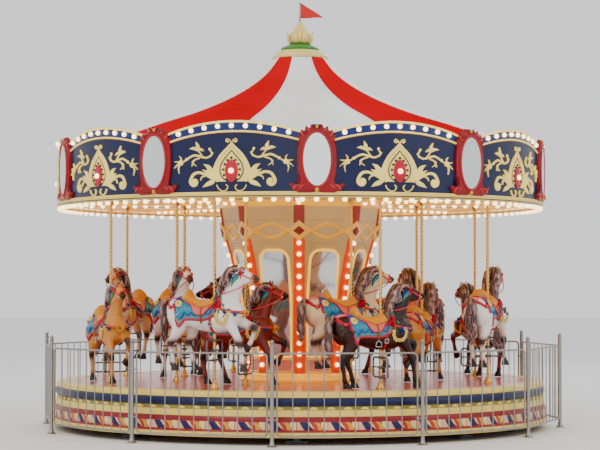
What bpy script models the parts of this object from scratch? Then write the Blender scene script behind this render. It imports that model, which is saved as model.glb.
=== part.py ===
"""A sixteen-horse merry-go-round, in metres, +Z up, standing on z = 0 with its mast on the Z axis.

Pieces are drawn in a front frame, where -Y points outwards from the mast and +X is the way the
ride turns. They are then turned about Z to the bearing of their station."""

import math

import bmesh
import bpy
from mathutils import Matrix, Vector

# Driving dimensions
CROWN_RADIUS = 3.0
DECK_TOP = 0.576
OUTER_ROW = 0.812 * CROWN_RADIUS
INNER_ROW = 0.535 * CROWN_RADIUS
STATIONS = 8
FIRST_STATION = math.radians(22.5)
CRANK_THROW = 0.095
FIT = 0.0003

# Fence
FENCE_POSTS = 12
FENCE_PITCH = 2 * math.pi / FENCE_POSTS
FENCE_RADIUS = CROWN_RADIUS + 0.2
FENCE_TURN = math.radians(-4.7)
POST_HEIGHT = 1.15
POST_RADIUS = 0.022
POST_SIDES = 6
PANEL_BOTTOM = 0.11
PANEL_TOP = 1.0
PANEL_TUBE = 0.018
PANEL_BARS = 8
PANEL_TO_POST = 0.055
STUB_HEIGHTS = (0.29, 0.81)
GATE_INDEX = 6
HINGE_RADIUS = 0.012

# Base and drive
HUB_RADIUS = 0.32
HUB_TOP = 0.22
BEAM_TOP = 0.13
BEAM_WIDTH = 0.08
FOOT_HEIGHT = 0.03
FOOT_SIZE = 0.24
FOOT_RADIUS = 2.6
MAST_RADIUS = 0.14
MAST_WALL = 0.012
MAST_TOP = 3.70
GEAR_BOTTOM = 0.30
GEAR_TOP = 0.36
GEAR_BORE = 0.17
SLEW_RADIUS = 0.50
SLEW_TEETH = 40
PINION_TEETH = 8
PINION_RADIUS = SLEW_RADIUS * PINION_TEETH / SLEW_TEETH
TOOTH_DEPTH = 0.018
TOOTH_GAP = 0.006
MOTOR_RADIUS = 0.085

# Platform
DECK_THICKNESS = 0.04
DECK_RADIUS = 2.95
DECK_BORE = 0.35
DECK_SIDES = 40
POLE_RADIUS = 0.019
POLE_SIDES = 6
POLE_HOLE = 0.027
JOIST_BOTTOM = 0.40

# Head of the ride
CEILING_BOTTOM = 2.755
CEILING_TOP = 2.785
CEILING_RADIUS = 2.92
CEILING_BORE = 0.26
CROWN_TURN = math.radians(4.2)
CROWN_PANELS = 10
CROWN_STEPS = 4
BOARD_INNER = CROWN_RADIUS - 0.06
RIM_BOTTOM = 2.67
BOARD_LOW_TOP = 3.356
BOARD_HIGH_TOP = 3.54
MEDALLION_WIDTH = 0.43
MEDALLION_BOTTOM = 2.74
MEDALLION_TOP = 3.49
SWEEP_TOP = 2.90
CANOPY_STEPS = 20
CANOPY_WALL = 0.03
CAP_BOTTOM = 4.55
CAP_TOP = 4.75
STAFF_RADIUS = 0.008
STAFF_TOP = 5.27

# Overhead cranks
CRANK_HEIGHT = 3.12
CRANK_BAR = 0.019
CRANK_SIDES = 6
CRANK_RATIO = 4
CRANK_PIN_HALF = 0.055
CRANK_END = 2.80
BEVEL_MIDDLE = 0.42
BEVEL_OUTER = 0.45
BEVEL_INNER = 0.39
BEVEL_OVERHANG = 0.005
BEARING_INNER = 0.62
BEARING_OUTER = 2.74
BEARING_THICKNESS = 0.05
BEARING_HOLE = 0.024

# Poles and horses
POLE_TOP_MID = 2.885
POLE_FOOT_MID = 0.33
HOOF_MID = DECK_TOP + 0.01 + CRANK_THROW
FOOTREST_HALF = 0.20
FOOTREST_BOTTOM = 0.12
FOOTREST_TOP = 0.34
FOOTREST_TUBE = 0.011
HORSE_BORE = POLE_RADIUS + 0.003

CREAM = (0.86, 0.80, 0.62)
NAVY = (0.03, 0.05, 0.15)
STEEL = (0.55, 0.54, 0.52)
BRASS = (0.75, 0.52, 0.22)
DARK_STEEL = (0.12, 0.13, 0.14)
COATS = {
    "palomino": (0.72, 0.42, 0.12),
    "white": (0.80, 0.78, 0.74),
    "black": (0.06, 0.025, 0.02),
    "chestnut": (0.28, 0.03, 0.015),
    "cream": (0.74, 0.66, 0.54),
}
OUTER_COATS = ["black", "white", "chestnut", "cream", "black", "cream", "palomino", "white"]
INNER_COATS = ["cream", "palomino", "white", "chestnut", "palomino", "cream", "white", "chestnut"]


def clear_scene():
    for old in list(bpy.data.objects):
        bpy.data.objects.remove(old)


def make_material(name, colour, roughness, metallic=0.0):
    material = bpy.data.materials.new(name)
    material.use_nodes = True
    shader = material.node_tree.nodes["Principled BSDF"]
    shader.inputs["Base Color"].default_value = (*colour, 1.0)
    shader.inputs["Roughness"].default_value = roughness
    shader.inputs["Metallic"].default_value = metallic
    return material


# Shells: each is (points, faces) and closed


def box(low, high):
    (x0, y0, z0), (x1, y1, z1) = low, high
    points = [(x, y, z) for z in (z0, z1) for y in (y0, y1) for x in (x0, x1)]
    faces = [(0, 2, 3, 1), (4, 5, 7, 6), (0, 1, 5, 4), (2, 6, 7, 3), (0, 4, 6, 2), (1, 3, 7, 5)]
    return points, faces


def skin(rings, closed=False):
    """A skin over rings of equal length. An open one has its first and last ring capped."""
    size = len(rings[0])
    points = [tuple(point) for ring in rings for point in ring]
    faces = []
    for i in range(len(rings) if closed else len(rings) - 1):
        a = i * size
        b = (i + 1) % len(rings) * size
        for j in range(size):
            k = (j + 1) % size
            faces.append((a + j, a + k, b + k, b + j))
    if not closed:
        faces.append(tuple(reversed(range(size))))
        faces.append(tuple((len(rings) - 1) * size + j for j in range(size)))
    return points, faces


def around(steps, turn=0.0):
    """Unit plan directions evenly round the mast, the first at the given bearing."""
    angles = [turn + 2 * math.pi * step / steps for step in range(steps)]
    return [(math.sin(angle), -math.cos(angle)) for angle in angles]


def solid_lathe(profile, steps, turn=0.0):
    """A solid of revolution through (radius, z) stations, flat at both ends."""
    ways = around(steps, turn)
    return skin([[(radius * x, radius * y, z) for x, y in ways] for radius, z in profile])


def ring_lathe(section, steps, turn=0.0):
    """A ring whose section is the closed (radius, z) outline given."""
    ways = around(steps, turn)
    return skin([[(radius * x, radius * y, z) for radius, z in section] for x, y in ways], closed=True)


def polygon(radius, sides, turn=0.0, centre=(0.0, 0.0)):
    return [(centre[0] + radius * x, centre[1] + radius * y) for x, y in around(sides, turn)]


def star(tip, root, teeth, turn):
    """The plan outline of a gear with pointed teeth, the first tip at the given bearing."""
    outline = []
    for index, (x, y) in enumerate(around(2 * teeth, turn)):
        radius = root if index % 2 else tip
        outline.append((radius * x, radius * y))
    return outline


def plate(outline, holes, low, high):
    """A flat plate between two heights, with its outline and holes given as plan polygons."""
    flat = bmesh.new()
    loops = []
    for loop in [outline, *holes]:
        verts = [flat.verts.new((x, y, low)) for x, y in loop]
        loops.append(verts)
        for i, vert in enumerate(verts):
            flat.edges.new((vert, verts[(i + 1) % len(verts)]))
    bmesh.ops.triangle_fill(flat, edges=list(flat.edges), use_beauty=True)
    flat.verts.index_update()
    count = len(flat.verts)
    points = [tuple(vert.co) for vert in flat.verts]
    points += [(x, y, high) for x, y, _ in points]
    faces = []
    for face in flat.faces:
        corners = [vert.index for vert in face.verts]
        faces.append(tuple(corners))
        faces.append(tuple(corner + count for corner in reversed(corners)))
    for verts in loops:
        for i, vert in enumerate(verts):
            a = vert.index
            b = verts[(i + 1) % len(verts)].index
            faces.append((a, b, b + count, a + count))
    flat.free()
    return points, faces


def upright(shell):
    """A plan shell stood up, so that its plan Y becomes height and its thickness runs outwards."""
    points, faces = shell
    return [(x, -z, y) for x, y, z in points], faces


def placed(shell, angle=0.0, shift=(0.0, 0.0, 0.0)):
    """A shell shifted, then turned about the mast."""
    points, faces = shell
    matrix = Matrix.Rotation(angle, 3, "Z")
    return [tuple(matrix @ (Vector(point) + Vector(shift))) for point in points], faces


def bar(path, radius, sides):
    """A bar of constant section along a path in the YZ plane, with mitred corners."""
    rings = []
    across = Vector((1, 0, 0))
    stops = [Vector(stop) for stop in path]
    for i, here in enumerate(stops):
        arrive = (here - stops[i - 1]).normalized() if i > 0 else (stops[1] - here).normalized()
        leave = (stops[i + 1] - here).normalized() if i + 1 < len(stops) else arrive
        bisector = (arrive + leave).normalized()
        up = bisector.cross(across).normalized() / bisector.dot(leave)
        ring = []
        for j in range(sides):
            angle = 2 * math.pi * (j + 0.5) / sides
            ring.append(here + radius * (across * math.cos(angle) + up * math.sin(angle)))
        rings.append(ring)
    return skin(rings)


def limb(path, sides):
    """A tapered limb through (x, y, z, height radius, width radius) stations."""
    rings = []
    for i, (x, y, z, tall, wide) in enumerate(path):
        before = path[max(i - 1, 0)]
        after = path[min(i + 1, len(path) - 1)]
        along = Vector((after[0] - before[0], 0, after[2] - before[2])).normalized()
        normal = Vector((-along.z, 0, along.x))
        ring = []
        for j in range(sides):
            angle = 2 * math.pi * (j + 0.5) / sides
            sideways = Vector((0, wide * math.sin(angle), 0))
            ring.append(Vector((x, y, z)) + normal * tall * math.cos(angle) + sideways)
        rings.append(ring)
    return skin(rings)


# Meshes and objects


def to_mesh(name, shell):
    points, faces = shell
    mesh = bpy.data.meshes.new(name)
    mesh.from_pydata(points, [], faces)
    work = bmesh.new()
    work.from_mesh(mesh)
    bmesh.ops.recalc_face_normals(work, faces=work.faces)
    work.to_mesh(mesh)
    work.free()
    return mesh


def combine(mesh, shells, operation):
    """The mesh joined with, or cut by, each shell, through one exact Boolean."""
    scene = bpy.context.scene.collection
    base = bpy.data.objects.new("combine_base", mesh)
    scene.objects.link(base)
    tools = bpy.data.collections.new("combine_tools")
    scene.children.link(tools)
    for shell in shells:
        tool = bpy.data.objects.new("combine_tool", to_mesh("combine_tool", shell))
        tool.hide_render = True
        tool.display_type = "WIRE"
        tools.objects.link(tool)
    boolean = base.modifiers.new("combine", "BOOLEAN")
    boolean.operation = operation
    boolean.solver = "EXACT"
    boolean.operand_type = "COLLECTION"
    boolean.collection = tools
    graph = bpy.context.evaluated_depsgraph_get()
    result = bpy.data.meshes.new_from_object(base.evaluated_get(graph))
    for tool in list(tools.objects):
        bpy.data.objects.remove(tool)
    bpy.data.collections.remove(tools)
    bpy.data.objects.remove(base)
    return result


def joined(name, shells):
    return combine(to_mesh(name, shells[0]), shells[1:], "UNION")


def place(name, mesh, material, parent=None, location=(0, 0, 0), angle=0.0, smooth=False):
    """Makes the object of one node. Its location and angle are in the parent's frame."""
    node = bpy.data.objects.new(name, mesh)
    bpy.context.scene.collection.objects.link(node)
    node.parent = parent
    node.location = location
    node.rotation_euler = (0, 0, angle)
    mesh.materials.clear()
    mesh.materials.append(material)
    if smooth:
        mesh.shade_smooth()
        mesh.set_sharp_from_angle(angle=math.radians(35))
    return node


def make_pivot(name, parent=None, location=(0, 0, 0), angle=0.0):
    pivot = bpy.data.objects.new(name, None)
    bpy.context.scene.collection.objects.link(pivot)
    pivot.parent = parent
    pivot.location = location
    pivot.rotation_euler = (0, 0, angle)
    return pivot


def station_angle(index):
    return FIRST_STATION + 2 * math.pi * index / STATIONS


def beam_angle(index):
    return 2 * math.pi * index / STATIONS


def rest_lift(index, outer):
    """How far a pole stands from mid-stroke at rest. Neighbours alternate, and the two poles
    of one crankshaft are opposite."""
    high = (index % 2 == 1) == outer
    return CRANK_THROW if high else -CRANK_THROW


# Base, mast and drive


def make_base_frame(material):
    race_low = HUB_TOP - 0.02
    race_top = GEAR_BOTTOM - FIT
    shells = [
        solid_lathe([(HUB_RADIUS, 0.0), (HUB_RADIUS, HUB_TOP)], 16),
        ring_lathe([(0.24, race_low), (0.29, race_low), (0.29, race_top), (0.24, race_top)], 16),
    ]
    half = BEAM_WIDTH / 2
    foot = FOOT_SIZE / 2
    for index in range(STATIONS):
        beam = box((-half, -FOOT_RADIUS - 0.1, FOOT_HEIGHT - 0.005), (half, -0.25, BEAM_TOP))
        pad = box((-foot, -FOOT_RADIUS - foot, 0), (foot, -FOOT_RADIUS + foot, FOOT_HEIGHT))
        shells += [placed(beam, beam_angle(index)), placed(pad, beam_angle(index))]
    motor_plate = box((-0.28, -1.02, 0.10), (0.28, -0.42, 0.125))
    shells.append(placed(motor_plate, FIRST_STATION))
    return place("base_frame", joined("base_frame", shells), material)


def make_centre_mast(material):
    inner = MAST_RADIUS - MAST_WALL
    low = HUB_TOP + FIT
    section = [(inner, low), (MAST_RADIUS, low), (MAST_RADIUS, MAST_TOP), (inner, MAST_TOP)]
    mesh = to_mesh("centre_mast", ring_lathe(section, 16))
    return place("centre_mast", mesh, material, smooth=True)


def make_drive_motor(material):
    """The gearbox stands on the motor plate, with the motor lying outwards from it."""
    seat = 0.125 + FIT
    centre = SLEW_RADIUS + PINION_RADIUS
    gearbox = box((-0.10, -centre - 0.10, seat), (0.10, -centre + 0.10, GEAR_BOTTOM - 0.02))
    motor_height = seat + MOTOR_RADIUS
    inner_end = -centre - 0.08
    outer_end = -centre - 0.40
    motor = bar([(0, inner_end, motor_height), (0, outer_end, motor_height)], MOTOR_RADIUS, 10)
    cowl = [(0, outer_end + 0.06, motor_height), (0, outer_end + 0.02, motor_height)]
    fan_cowl = bar(cowl, MOTOR_RADIUS - 0.008, 10)
    mesh = joined("drive_motor", [gearbox, motor, fan_cowl])
    return place("drive_motor", mesh, material, angle=FIRST_STATION)


def make_slew_gear(material, turntable):
    """At the drive pinion's bearing a root faces it, so the first tip is half a tooth on."""
    tip = SLEW_RADIUS + (TOOTH_DEPTH - TOOTH_GAP) / 2
    turn = FIRST_STATION + math.pi / SLEW_TEETH
    outline = star(tip, tip - TOOTH_DEPTH, SLEW_TEETH, turn)
    shell = plate(outline, [polygon(GEAR_BORE, 16)], GEAR_BOTTOM, GEAR_TOP)
    return place("slew_gear", to_mesh("slew_gear", shell), material, turntable)


def make_drive_pinion(material):
    tip = PINION_RADIUS + (TOOTH_DEPTH - TOOTH_GAP) / 2
    outline = star(tip, tip - TOOTH_DEPTH, PINION_TEETH, 0.0)
    teeth = plate(outline, [], GEAR_BOTTOM, GEAR_TOP)
    shaft = solid_lathe([(0.03, GEAR_BOTTOM - 0.02 + FIT), (0.03, GEAR_TOP + 0.012)], 8)
    # A bearing of half a turn points the first tip at the mast.
    mesh = joined("drive_pinion", [placed(teeth, math.pi), shaft])
    distance = SLEW_RADIUS + PINION_RADIUS
    pivot = make_pivot(
        "drive_pinion_axis",
        location=(distance * math.sin(FIRST_STATION), -distance * math.cos(FIRST_STATION), 0),
        angle=FIRST_STATION,
    )
    return place("drive_pinion", mesh, material, pivot)


def bevel_height(radius, offset):
    """Height of the crown gear's face at a radius, on a cone whose apex is on the crank axes."""
    return CRANK_HEIGHT - (radius / BEVEL_MIDDLE) * (BEVEL_MIDDLE / CRANK_RATIO - offset)


def make_crown_gear(material):
    """The fixed bevel gear at the mast head. A root faces every crank at rest."""
    teeth = PINION_TEETH * CRANK_RATIO
    inner = BEVEL_INNER - BEVEL_OVERHANG
    outer = BEVEL_OUTER + BEVEL_OVERHANG
    bottom = CRANK_HEIGHT - 0.165
    rings = []
    for index, (x, y) in enumerate(around(2 * teeth, FIRST_STATION)):
        offset = (TOOTH_DEPTH if index % 2 else -TOOTH_DEPTH) / 2 - TOOTH_GAP / 2
        section = [
            (MAST_RADIUS + 0.0005, bottom),
            (MAST_RADIUS + 0.0005, bottom + 0.04),
            (inner, bevel_height(inner, offset)),
            (outer, bevel_height(outer, offset)),
            (outer, bottom + 0.01),
        ]
        rings.append([(radius * x, radius * y, z) for radius, z in section])
    return place("crown_gear", to_mesh("crown_gear", skin(rings, closed=True)), material)


# Cranks


def bevel_pinion():
    """The pinion on a crank, pointing outwards, with one tooth straight down."""
    rings = []
    for radius in (BEVEL_INNER, BEVEL_OUTER):
        size = radius / BEVEL_MIDDLE
        ring = []
        for index in range(2 * PINION_TEETH):
            angle = math.pi * index / PINION_TEETH
            offset = (-TOOTH_DEPTH if index % 2 else TOOTH_DEPTH) / 2 - TOOTH_GAP / 2
            reach = size * (BEVEL_MIDDLE / CRANK_RATIO + offset)
            ring.append((reach * math.sin(angle), -radius, -reach * math.cos(angle)))
        rings.append(ring)
    return skin(rings)


def crank_path(index):
    """The bent shaft in its own axis's frame: two throws on opposite sides."""
    path = [(0, -BEVEL_INNER + 0.01, 0)]
    for row, outer in ((INNER_ROW, False), (OUTER_ROW, True)):
        lift = rest_lift(index, outer)
        near = -row + CRANK_PIN_HALF
        far = -row - CRANK_PIN_HALF
        path += [(0, near, 0), (0, near, lift), (0, far, lift), (0, far, 0)]
    return path + [(0, -CRANK_END, 0)]


def make_crank(index, material, turntable):
    shaft = bar(crank_path(index), CRANK_BAR, CRANK_SIDES)
    mesh = joined("crankshaft", [shaft, bevel_pinion()])
    axis = make_pivot(f"crank_axis_{index + 1}", turntable, (0, 0, CRANK_HEIGHT), station_angle(index))
    return place(f"crankshaft_{index + 1}", mesh, material, axis)


# Platform and casing


def pole_holes(sides=6):
    holes = []
    for index in range(STATIONS):
        for row in (INNER_ROW, OUTER_ROW):
            x, y = around(1, station_angle(index))[0]
            holes.append(polygon(POLE_HOLE, sides, centre=(row * x, row * y)))
    return holes


def make_platform_frame(material, turntable):
    hub = plate(polygon(0.46, 16), [polygon(GEAR_BORE, 16)], GEAR_TOP + FIT, JOIST_BOTTOM + 0.02)
    top = DECK_TOP - DECK_THICKNESS - FIT
    ring = plate(polygon(2.88, 24), [polygon(2.80, 24)], JOIST_BOTTOM + 0.05, top - 0.002)
    shells = [hub, ring]
    half = BEAM_WIDTH / 2
    for index in range(STATIONS):
        shells.append(placed(box((-half, -2.86, JOIST_BOTTOM), (half, -0.40, top)), beam_angle(index)))
    return place("platform_frame", joined("platform_frame", shells), material, turntable)


def make_platform_deck(material, turntable):
    holes = [polygon(DECK_BORE, 16), *pole_holes()]
    shell = plate(polygon(DECK_RADIUS, DECK_SIDES), holes, DECK_TOP - DECK_THICKNESS, DECK_TOP)
    return place("platform_deck", to_mesh("platform_deck", shell), material, turntable)


def make_platform_skirt(material, turntable):
    inner = DECK_RADIUS + 0.003
    section = [
        (inner, DECK_TOP),
        (inner + 0.035, DECK_TOP - 0.005),
        (CROWN_RADIUS, 0.468),
        (CROWN_RADIUS - 0.015, 0.385),
        (CROWN_RADIUS + 0.045, 0.375),
        (CROWN_RADIUS + 0.05, 0.085),
        (CROWN_RADIUS + 0.02, 0.085),
        (inner, 0.36),
    ]
    mesh = to_mesh("platform_skirt", ring_lathe(section, DECK_SIDES))
    return place("platform_skirt", mesh, material, turntable)


def make_column_casing(material, turntable):
    """The eight-sided casing, which flares towards the ceiling above a stepped foot."""
    outside = [
        (0.66, DECK_TOP + FIT),
        (0.66, 0.66),
        (0.62, 0.80),
        (0.65, 0.96),
        (0.75, 1.54),
        (0.85, 2.05),
        (0.95, 2.39),
        (1.01, CEILING_BOTTOM - FIT),
    ]
    wall = 0.025
    inside = [(radius - wall, z) for radius, z in reversed(outside)]
    mesh = to_mesh("column_casing", ring_lathe(outside + inside, STATIONS))
    return place("column_casing", mesh, material, turntable)


# Head


def make_ceiling(material, turntable):
    holes = [polygon(CEILING_BORE, 16), *pole_holes()]
    shell = plate(polygon(CEILING_RADIUS, DECK_SIDES), holes, CEILING_BOTTOM, CEILING_TOP)
    return place("ceiling_panels", to_mesh("ceiling_panels", shell), material, turntable)


def bearing_block(distance):
    """A plate standing on the sweep frame, with the crank's running hole in it."""
    half = 0.05
    low = SWEEP_TOP - 0.03
    high = CRANK_HEIGHT + half
    outline = [(-half, low), (half, low), (half, high), (-half, high)]
    hole = polygon(BEARING_HOLE, 8, centre=(0, CRANK_HEIGHT))
    thickness = BEARING_THICKNESS / 2
    return upright(plate(outline, [hole], distance - thickness, distance + thickness))


def make_sweep_frame(material, turntable):
    low = CEILING_TOP + FIT
    hub = plate(polygon(0.29, 16), [polygon(MAST_RADIUS + 0.004, 16)], low + 0.003, SWEEP_TOP + 0.005)
    inner_ring = plate(polygon(0.70, 8), [polygon(0.58, 8)], SWEEP_TOP - 0.045, SWEEP_TOP - 0.005)
    outer_ring = plate(polygon(2.80, 16), [polygon(2.68, 16)], SWEEP_TOP - 0.045, SWEEP_TOP - 0.005)
    shells = [hub, inner_ring, outer_ring]
    half = BEAM_WIDTH / 2
    for index in range(STATIONS):
        shells.append(placed(box((-half, -2.915, low), (half, -0.2, SWEEP_TOP)), beam_angle(index)))
        for distance in (BEARING_INNER, BEARING_OUTER):
            shells.append(placed(bearing_block(distance), station_angle(index)))
    return place("sweep_frame", joined("sweep_frame", shells), material, turntable)


def board_top(step):
    """Height of the crown's edge at one of the steps round it: each panel is an arch."""
    across = (step % CROWN_STEPS) / CROWN_STEPS * 2 - 1
    return BOARD_HIGH_TOP - (BOARD_HIGH_TOP - BOARD_LOW_TOP) * across**2


def make_rounding_boards(material, turntable):
    rings = []
    for step, (x, y) in enumerate(around(CROWN_PANELS * CROWN_STEPS, CROWN_TURN)):
        top = board_top(step)
        section = [
            (BOARD_INNER, RIM_BOTTOM),
            (CROWN_RADIUS, RIM_BOTTOM),
            (CROWN_RADIUS, top),
            (BOARD_INNER, top),
        ]
        rings.append([(radius * x, radius * y, z) for radius, z in section])
    shells = [skin(rings, closed=True)]
    half = MEDALLION_WIDTH / 2
    for index in range(CROWN_PANELS):
        low = (-half, -CROWN_RADIUS - 0.05, MEDALLION_BOTTOM)
        high = (half, -CROWN_RADIUS + 0.03, MEDALLION_TOP)
        shells.append(placed(box(low, high), CROWN_TURN + 2 * math.pi * index / CROWN_PANELS))
    return place("rounding_boards", joined("rounding_boards", shells), material, turntable)


def make_canopy(material, turntable):
    """A shell that sweeps up from the crown to the cap in a hollow curve."""
    outside = [
        (2.92, 3.36),
        (2.14, 3.63),
        (1.60, 3.80),
        (1.14, 3.98),
        (0.77, 4.17),
        (0.51, 4.36),
        (0.345, 4.55),
    ]
    inside = [(radius - CANOPY_WALL * 0.6, z - CANOPY_WALL) for radius, z in outside[1:-1]]
    section = outside + [(outside[-1][0] - CANOPY_WALL, outside[-1][1])] + inside[::-1] + [(2.90, 3.33)]
    mesh = to_mesh("canopy", ring_lathe(section, CANOPY_STEPS, CROWN_TURN))
    return place("canopy", mesh, material, turntable, smooth=True)


def make_cap(material, turntable):
    ring = 0.335
    collar = 0.24
    profile = [
        (ring, CAP_BOTTOM + FIT),
        (ring, CAP_BOTTOM + 0.11),
        (collar, CAP_BOTTOM + 0.125),
        (collar - 0.01, CAP_TOP),
    ]
    return place("canopy_cap", to_mesh("canopy_cap", solid_lathe(profile, 16)), material, turntable)


def make_finial(material, turntable):
    profile = [
        (0.09, CAP_TOP + FIT),
        (0.138, CAP_TOP + 0.05),
        (0.11, CAP_TOP + 0.15),
        (0.045, CAP_TOP + 0.23),
        (0.02, CAP_TOP + 0.28),
    ]
    bulb = solid_lathe(profile, 10)
    staff = solid_lathe([(STAFF_RADIUS, CAP_TOP + 0.15), (STAFF_RADIUS, STAFF_TOP)], 6)
    return place("finial", joined("finial", [bulb, staff]), material, turntable)


def make_pennant(material, turntable):
    """A triangular flag whose hoist stands against the staff."""
    hoist = STAFF_RADIUS + 0.0005
    fly = hoist + 0.285
    top = STAFF_TOP - 0.005
    outline = [(hoist, top - 0.195), (fly, top - 0.18), (hoist, top)]
    shell = upright(plate(outline, [], -0.003, 0.003))
    return place("pennant", to_mesh("pennant", shell), material, turntable)


# Horses and their poles


def horse_mesh():
    """A galloping horse that faces +X, with its hooves on z = 0 and its pole on the Z axis."""
    torso = [
        (-0.57, 0, 0.67, 0.06, 0.05),
        (-0.45, 0, 0.665, 0.15, 0.14),
        (-0.22, 0, 0.61, 0.165, 0.15),
        (0.12, 0, 0.60, 0.175, 0.145),
        (0.29, 0, 0.635, 0.14, 0.11),
        (0.36, 0, 0.66, 0.05, 0.05),
    ]
    neck = [(0.17, 0, 0.70, 0.13, 0.08), (0.27, 0, 0.93, 0.11, 0.06), (0.33, 0, 1.10, 0.06, 0.045)]
    head = [(0.25, 0, 1.12, 0.05, 0.045), (0.37, 0, 1.085, 0.085, 0.05), (0.53, 0, 1.04, 0.035, 0.03)]
    ear = [(0.29, 0, 1.14, 0.02, 0.05), (0.285, 0, 1.21, 0.006, 0.05)]
    tail = [(-0.53, 0, 0.77, 0.04, 0.03), (-0.62, 0, 0.62, 0.055, 0.05), (-0.60, 0, 0.30, 0.02, 0.02)]
    hind = 0.075
    fore = 0.065
    legs = [
        [(-0.42, hind, 0.60, 0.10, 0.06), (-0.49, hind, 0.31, 0.04, 0.03), (-0.46, hind, 0.0, 0.03, 0.03)],
        [(-0.38, -hind, 0.60, 0.10, 0.06), (-0.40, -hind, 0.31, 0.04, 0.03), (-0.30, -hind, 0.0, 0.03, 0.03)],
        [(0.25, fore, 0.58, 0.08, 0.05), (0.44, fore, 0.48, 0.045, 0.035), (0.37, fore, 0.27, 0.03, 0.03)],
        [(0.25, -fore, 0.56, 0.08, 0.05), (0.32, -fore, 0.30, 0.035, 0.03), (0.38, -fore, 0.0, 0.03, 0.03)],
    ]
    shells = [limb(torso, 6), limb(neck, 5), limb(head, 5), limb(ear, 3), limb(tail, 4)]
    shells += [limb(leg, 4) for leg in legs]
    solid = joined("horse", shells)
    bore = solid_lathe([(HORSE_BORE, 0.2), (HORSE_BORE, 1.3)], POLE_SIDES)
    return combine(solid, [bore], "DIFFERENCE")


def pole_mesh():
    """A pole with its footrest frame, at mid-stroke, with z = 0 at the hooves."""
    low = POLE_FOOT_MID - HOOF_MID
    high = POLE_TOP_MID - HOOF_MID
    pole = solid_lathe([(POLE_RADIUS, low), (POLE_RADIUS, high)], POLE_SIDES)
    outer = [
        (-FOOTREST_HALF, FOOTREST_BOTTOM),
        (FOOTREST_HALF, FOOTREST_BOTTOM),
        (FOOTREST_HALF, FOOTREST_TOP),
        (-FOOTREST_HALF, FOOTREST_TOP),
    ]
    tube = 2 * FOOTREST_TUBE
    middle = (FOOTREST_BOTTOM + FOOTREST_TOP) / 2
    holes = []
    lower_gap = (FOOTREST_BOTTOM + tube, middle - tube / 2)
    upper_gap = (middle + tube / 2, FOOTREST_TOP - tube)
    for bottom, top in (lower_gap, upper_gap):
        half = FOOTREST_HALF - tube
        holes.append([(-half, bottom), (half, bottom), (half, top), (-half, top)])
    frame = upright(plate(outer, holes, -FOOTREST_TUBE, FOOTREST_TUBE))
    return joined("pole", [pole, placed(frame, math.pi / 2)])


def make_horses(turntable, coats, brass):
    horse = horse_mesh()
    pole = pole_mesh()
    for outer, row, names in ((True, OUTER_ROW, OUTER_COATS), (False, INNER_ROW, INNER_COATS)):
        side = "outer" if outer else "inner"
        for index in range(STATIONS):
            x, y = around(1, station_angle(index))[0]
            height = HOOF_MID + rest_lift(index, outer)
            pivot = make_pivot(
                f"{side}_seat_{index + 1}", turntable, (row * x, row * y, height), station_angle(index)
            )
            place(f"horse_{side}_{index + 1}", horse.copy(), coats[names[index]], pivot, smooth=True)
            place(f"pole_{side}_{index + 1}", pole.copy(), brass, pivot)


# Fence


def panel_shell(width):
    """An upright-bar panel in the front frame, on the line y = 0."""
    half = width / 2
    tube = PANEL_TUBE
    outer = [(-half, PANEL_BOTTOM), (half, PANEL_BOTTOM), (half, PANEL_TOP), (-half, PANEL_TOP)]
    gap = (width - tube) / (PANEL_BARS + 1)
    holes = []
    for index in range(PANEL_BARS + 1):
        left = -half + tube + index * gap
        right = -half + (index + 1) * gap
        low = PANEL_BOTTOM + tube
        high = PANEL_TOP - tube
        holes.append([(left, low), (right, low), (right, high), (left, high)])
    return upright(plate(outer, holes, -tube / 2, tube / 2))


def post_shell(index):
    profile = [
        (0.055, 0.0),
        (POST_RADIUS, 0.05),
        (POST_RADIUS, POST_HEIGHT - 0.06),
        (0.032, POST_HEIGHT - 0.03),
        (0.012, POST_HEIGHT),
    ]
    post = solid_lathe(profile, POST_SIDES)
    return placed(placed(post, shift=(0, -FENCE_RADIUS, 0)), FENCE_TURN + index * FENCE_PITCH)


def half_chord():
    return FENCE_RADIUS * math.sin(FENCE_PITCH / 2)


def fence_line():
    return FENCE_RADIUS * math.cos(FENCE_PITCH / 2)


def panel_angle(index):
    return FENCE_TURN + (index + 0.5) * FENCE_PITCH


def fixed_panel(index, free_end):
    """A panel and the stubs that tie it to its posts. A free end stops just short of the post."""
    reach = half_chord() - PANEL_TO_POST
    shells = [placed(panel_shell(2 * reach), shift=(0, -fence_line(), 0))]
    for z in STUB_HEIGHTS:
        for side in (-1, 1):
            stop = half_chord() - (POST_RADIUS + FIT if side == 1 and free_end else POST_RADIUS / 2)
            near = side * (reach - 0.009)
            far = side * stop
            low = (min(near, far), -fence_line() - 0.008, z - 0.012)
            high = (max(near, far), -fence_line() + 0.008, z + 0.012)
            shells.append(box(low, high))
    return [placed(shell, panel_angle(index)) for shell in shells]


def hinge_brackets():
    """Brackets on the hinge post, each just under a knuckle of the gate."""
    shells = []
    for z in STUB_HEIGHTS:
        x = half_chord() - POST_RADIUS / 2
        low = (-x, -fence_line() - 0.012, z - 0.024)
        high = (hinge_x() + HINGE_RADIUS, -fence_line() + 0.012, z - 0.012 - 2 * FIT)
        shells.append(placed(box(low, high), panel_angle(GATE_INDEX)))
    return shells


def hinge_x():
    return -half_chord() + 0.045


def make_fence(material):
    right_posts = [post_shell(index) for index in range(GATE_INDEX + 1)]
    right = right_posts[:]
    for index in range(GATE_INDEX):
        right += fixed_panel(index, free_end=False)
    right += hinge_brackets()
    place("fence_right", joined("fence_right", right), material)
    left = [post_shell(index) for index in range(GATE_INDEX + 1, FENCE_POSTS)]
    for index in range(GATE_INDEX + 1, FENCE_POSTS):
        left += fixed_panel(index, free_end=index == FENCE_POSTS - 1)
    place("fence_left", joined("fence_left", left), material)


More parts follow.
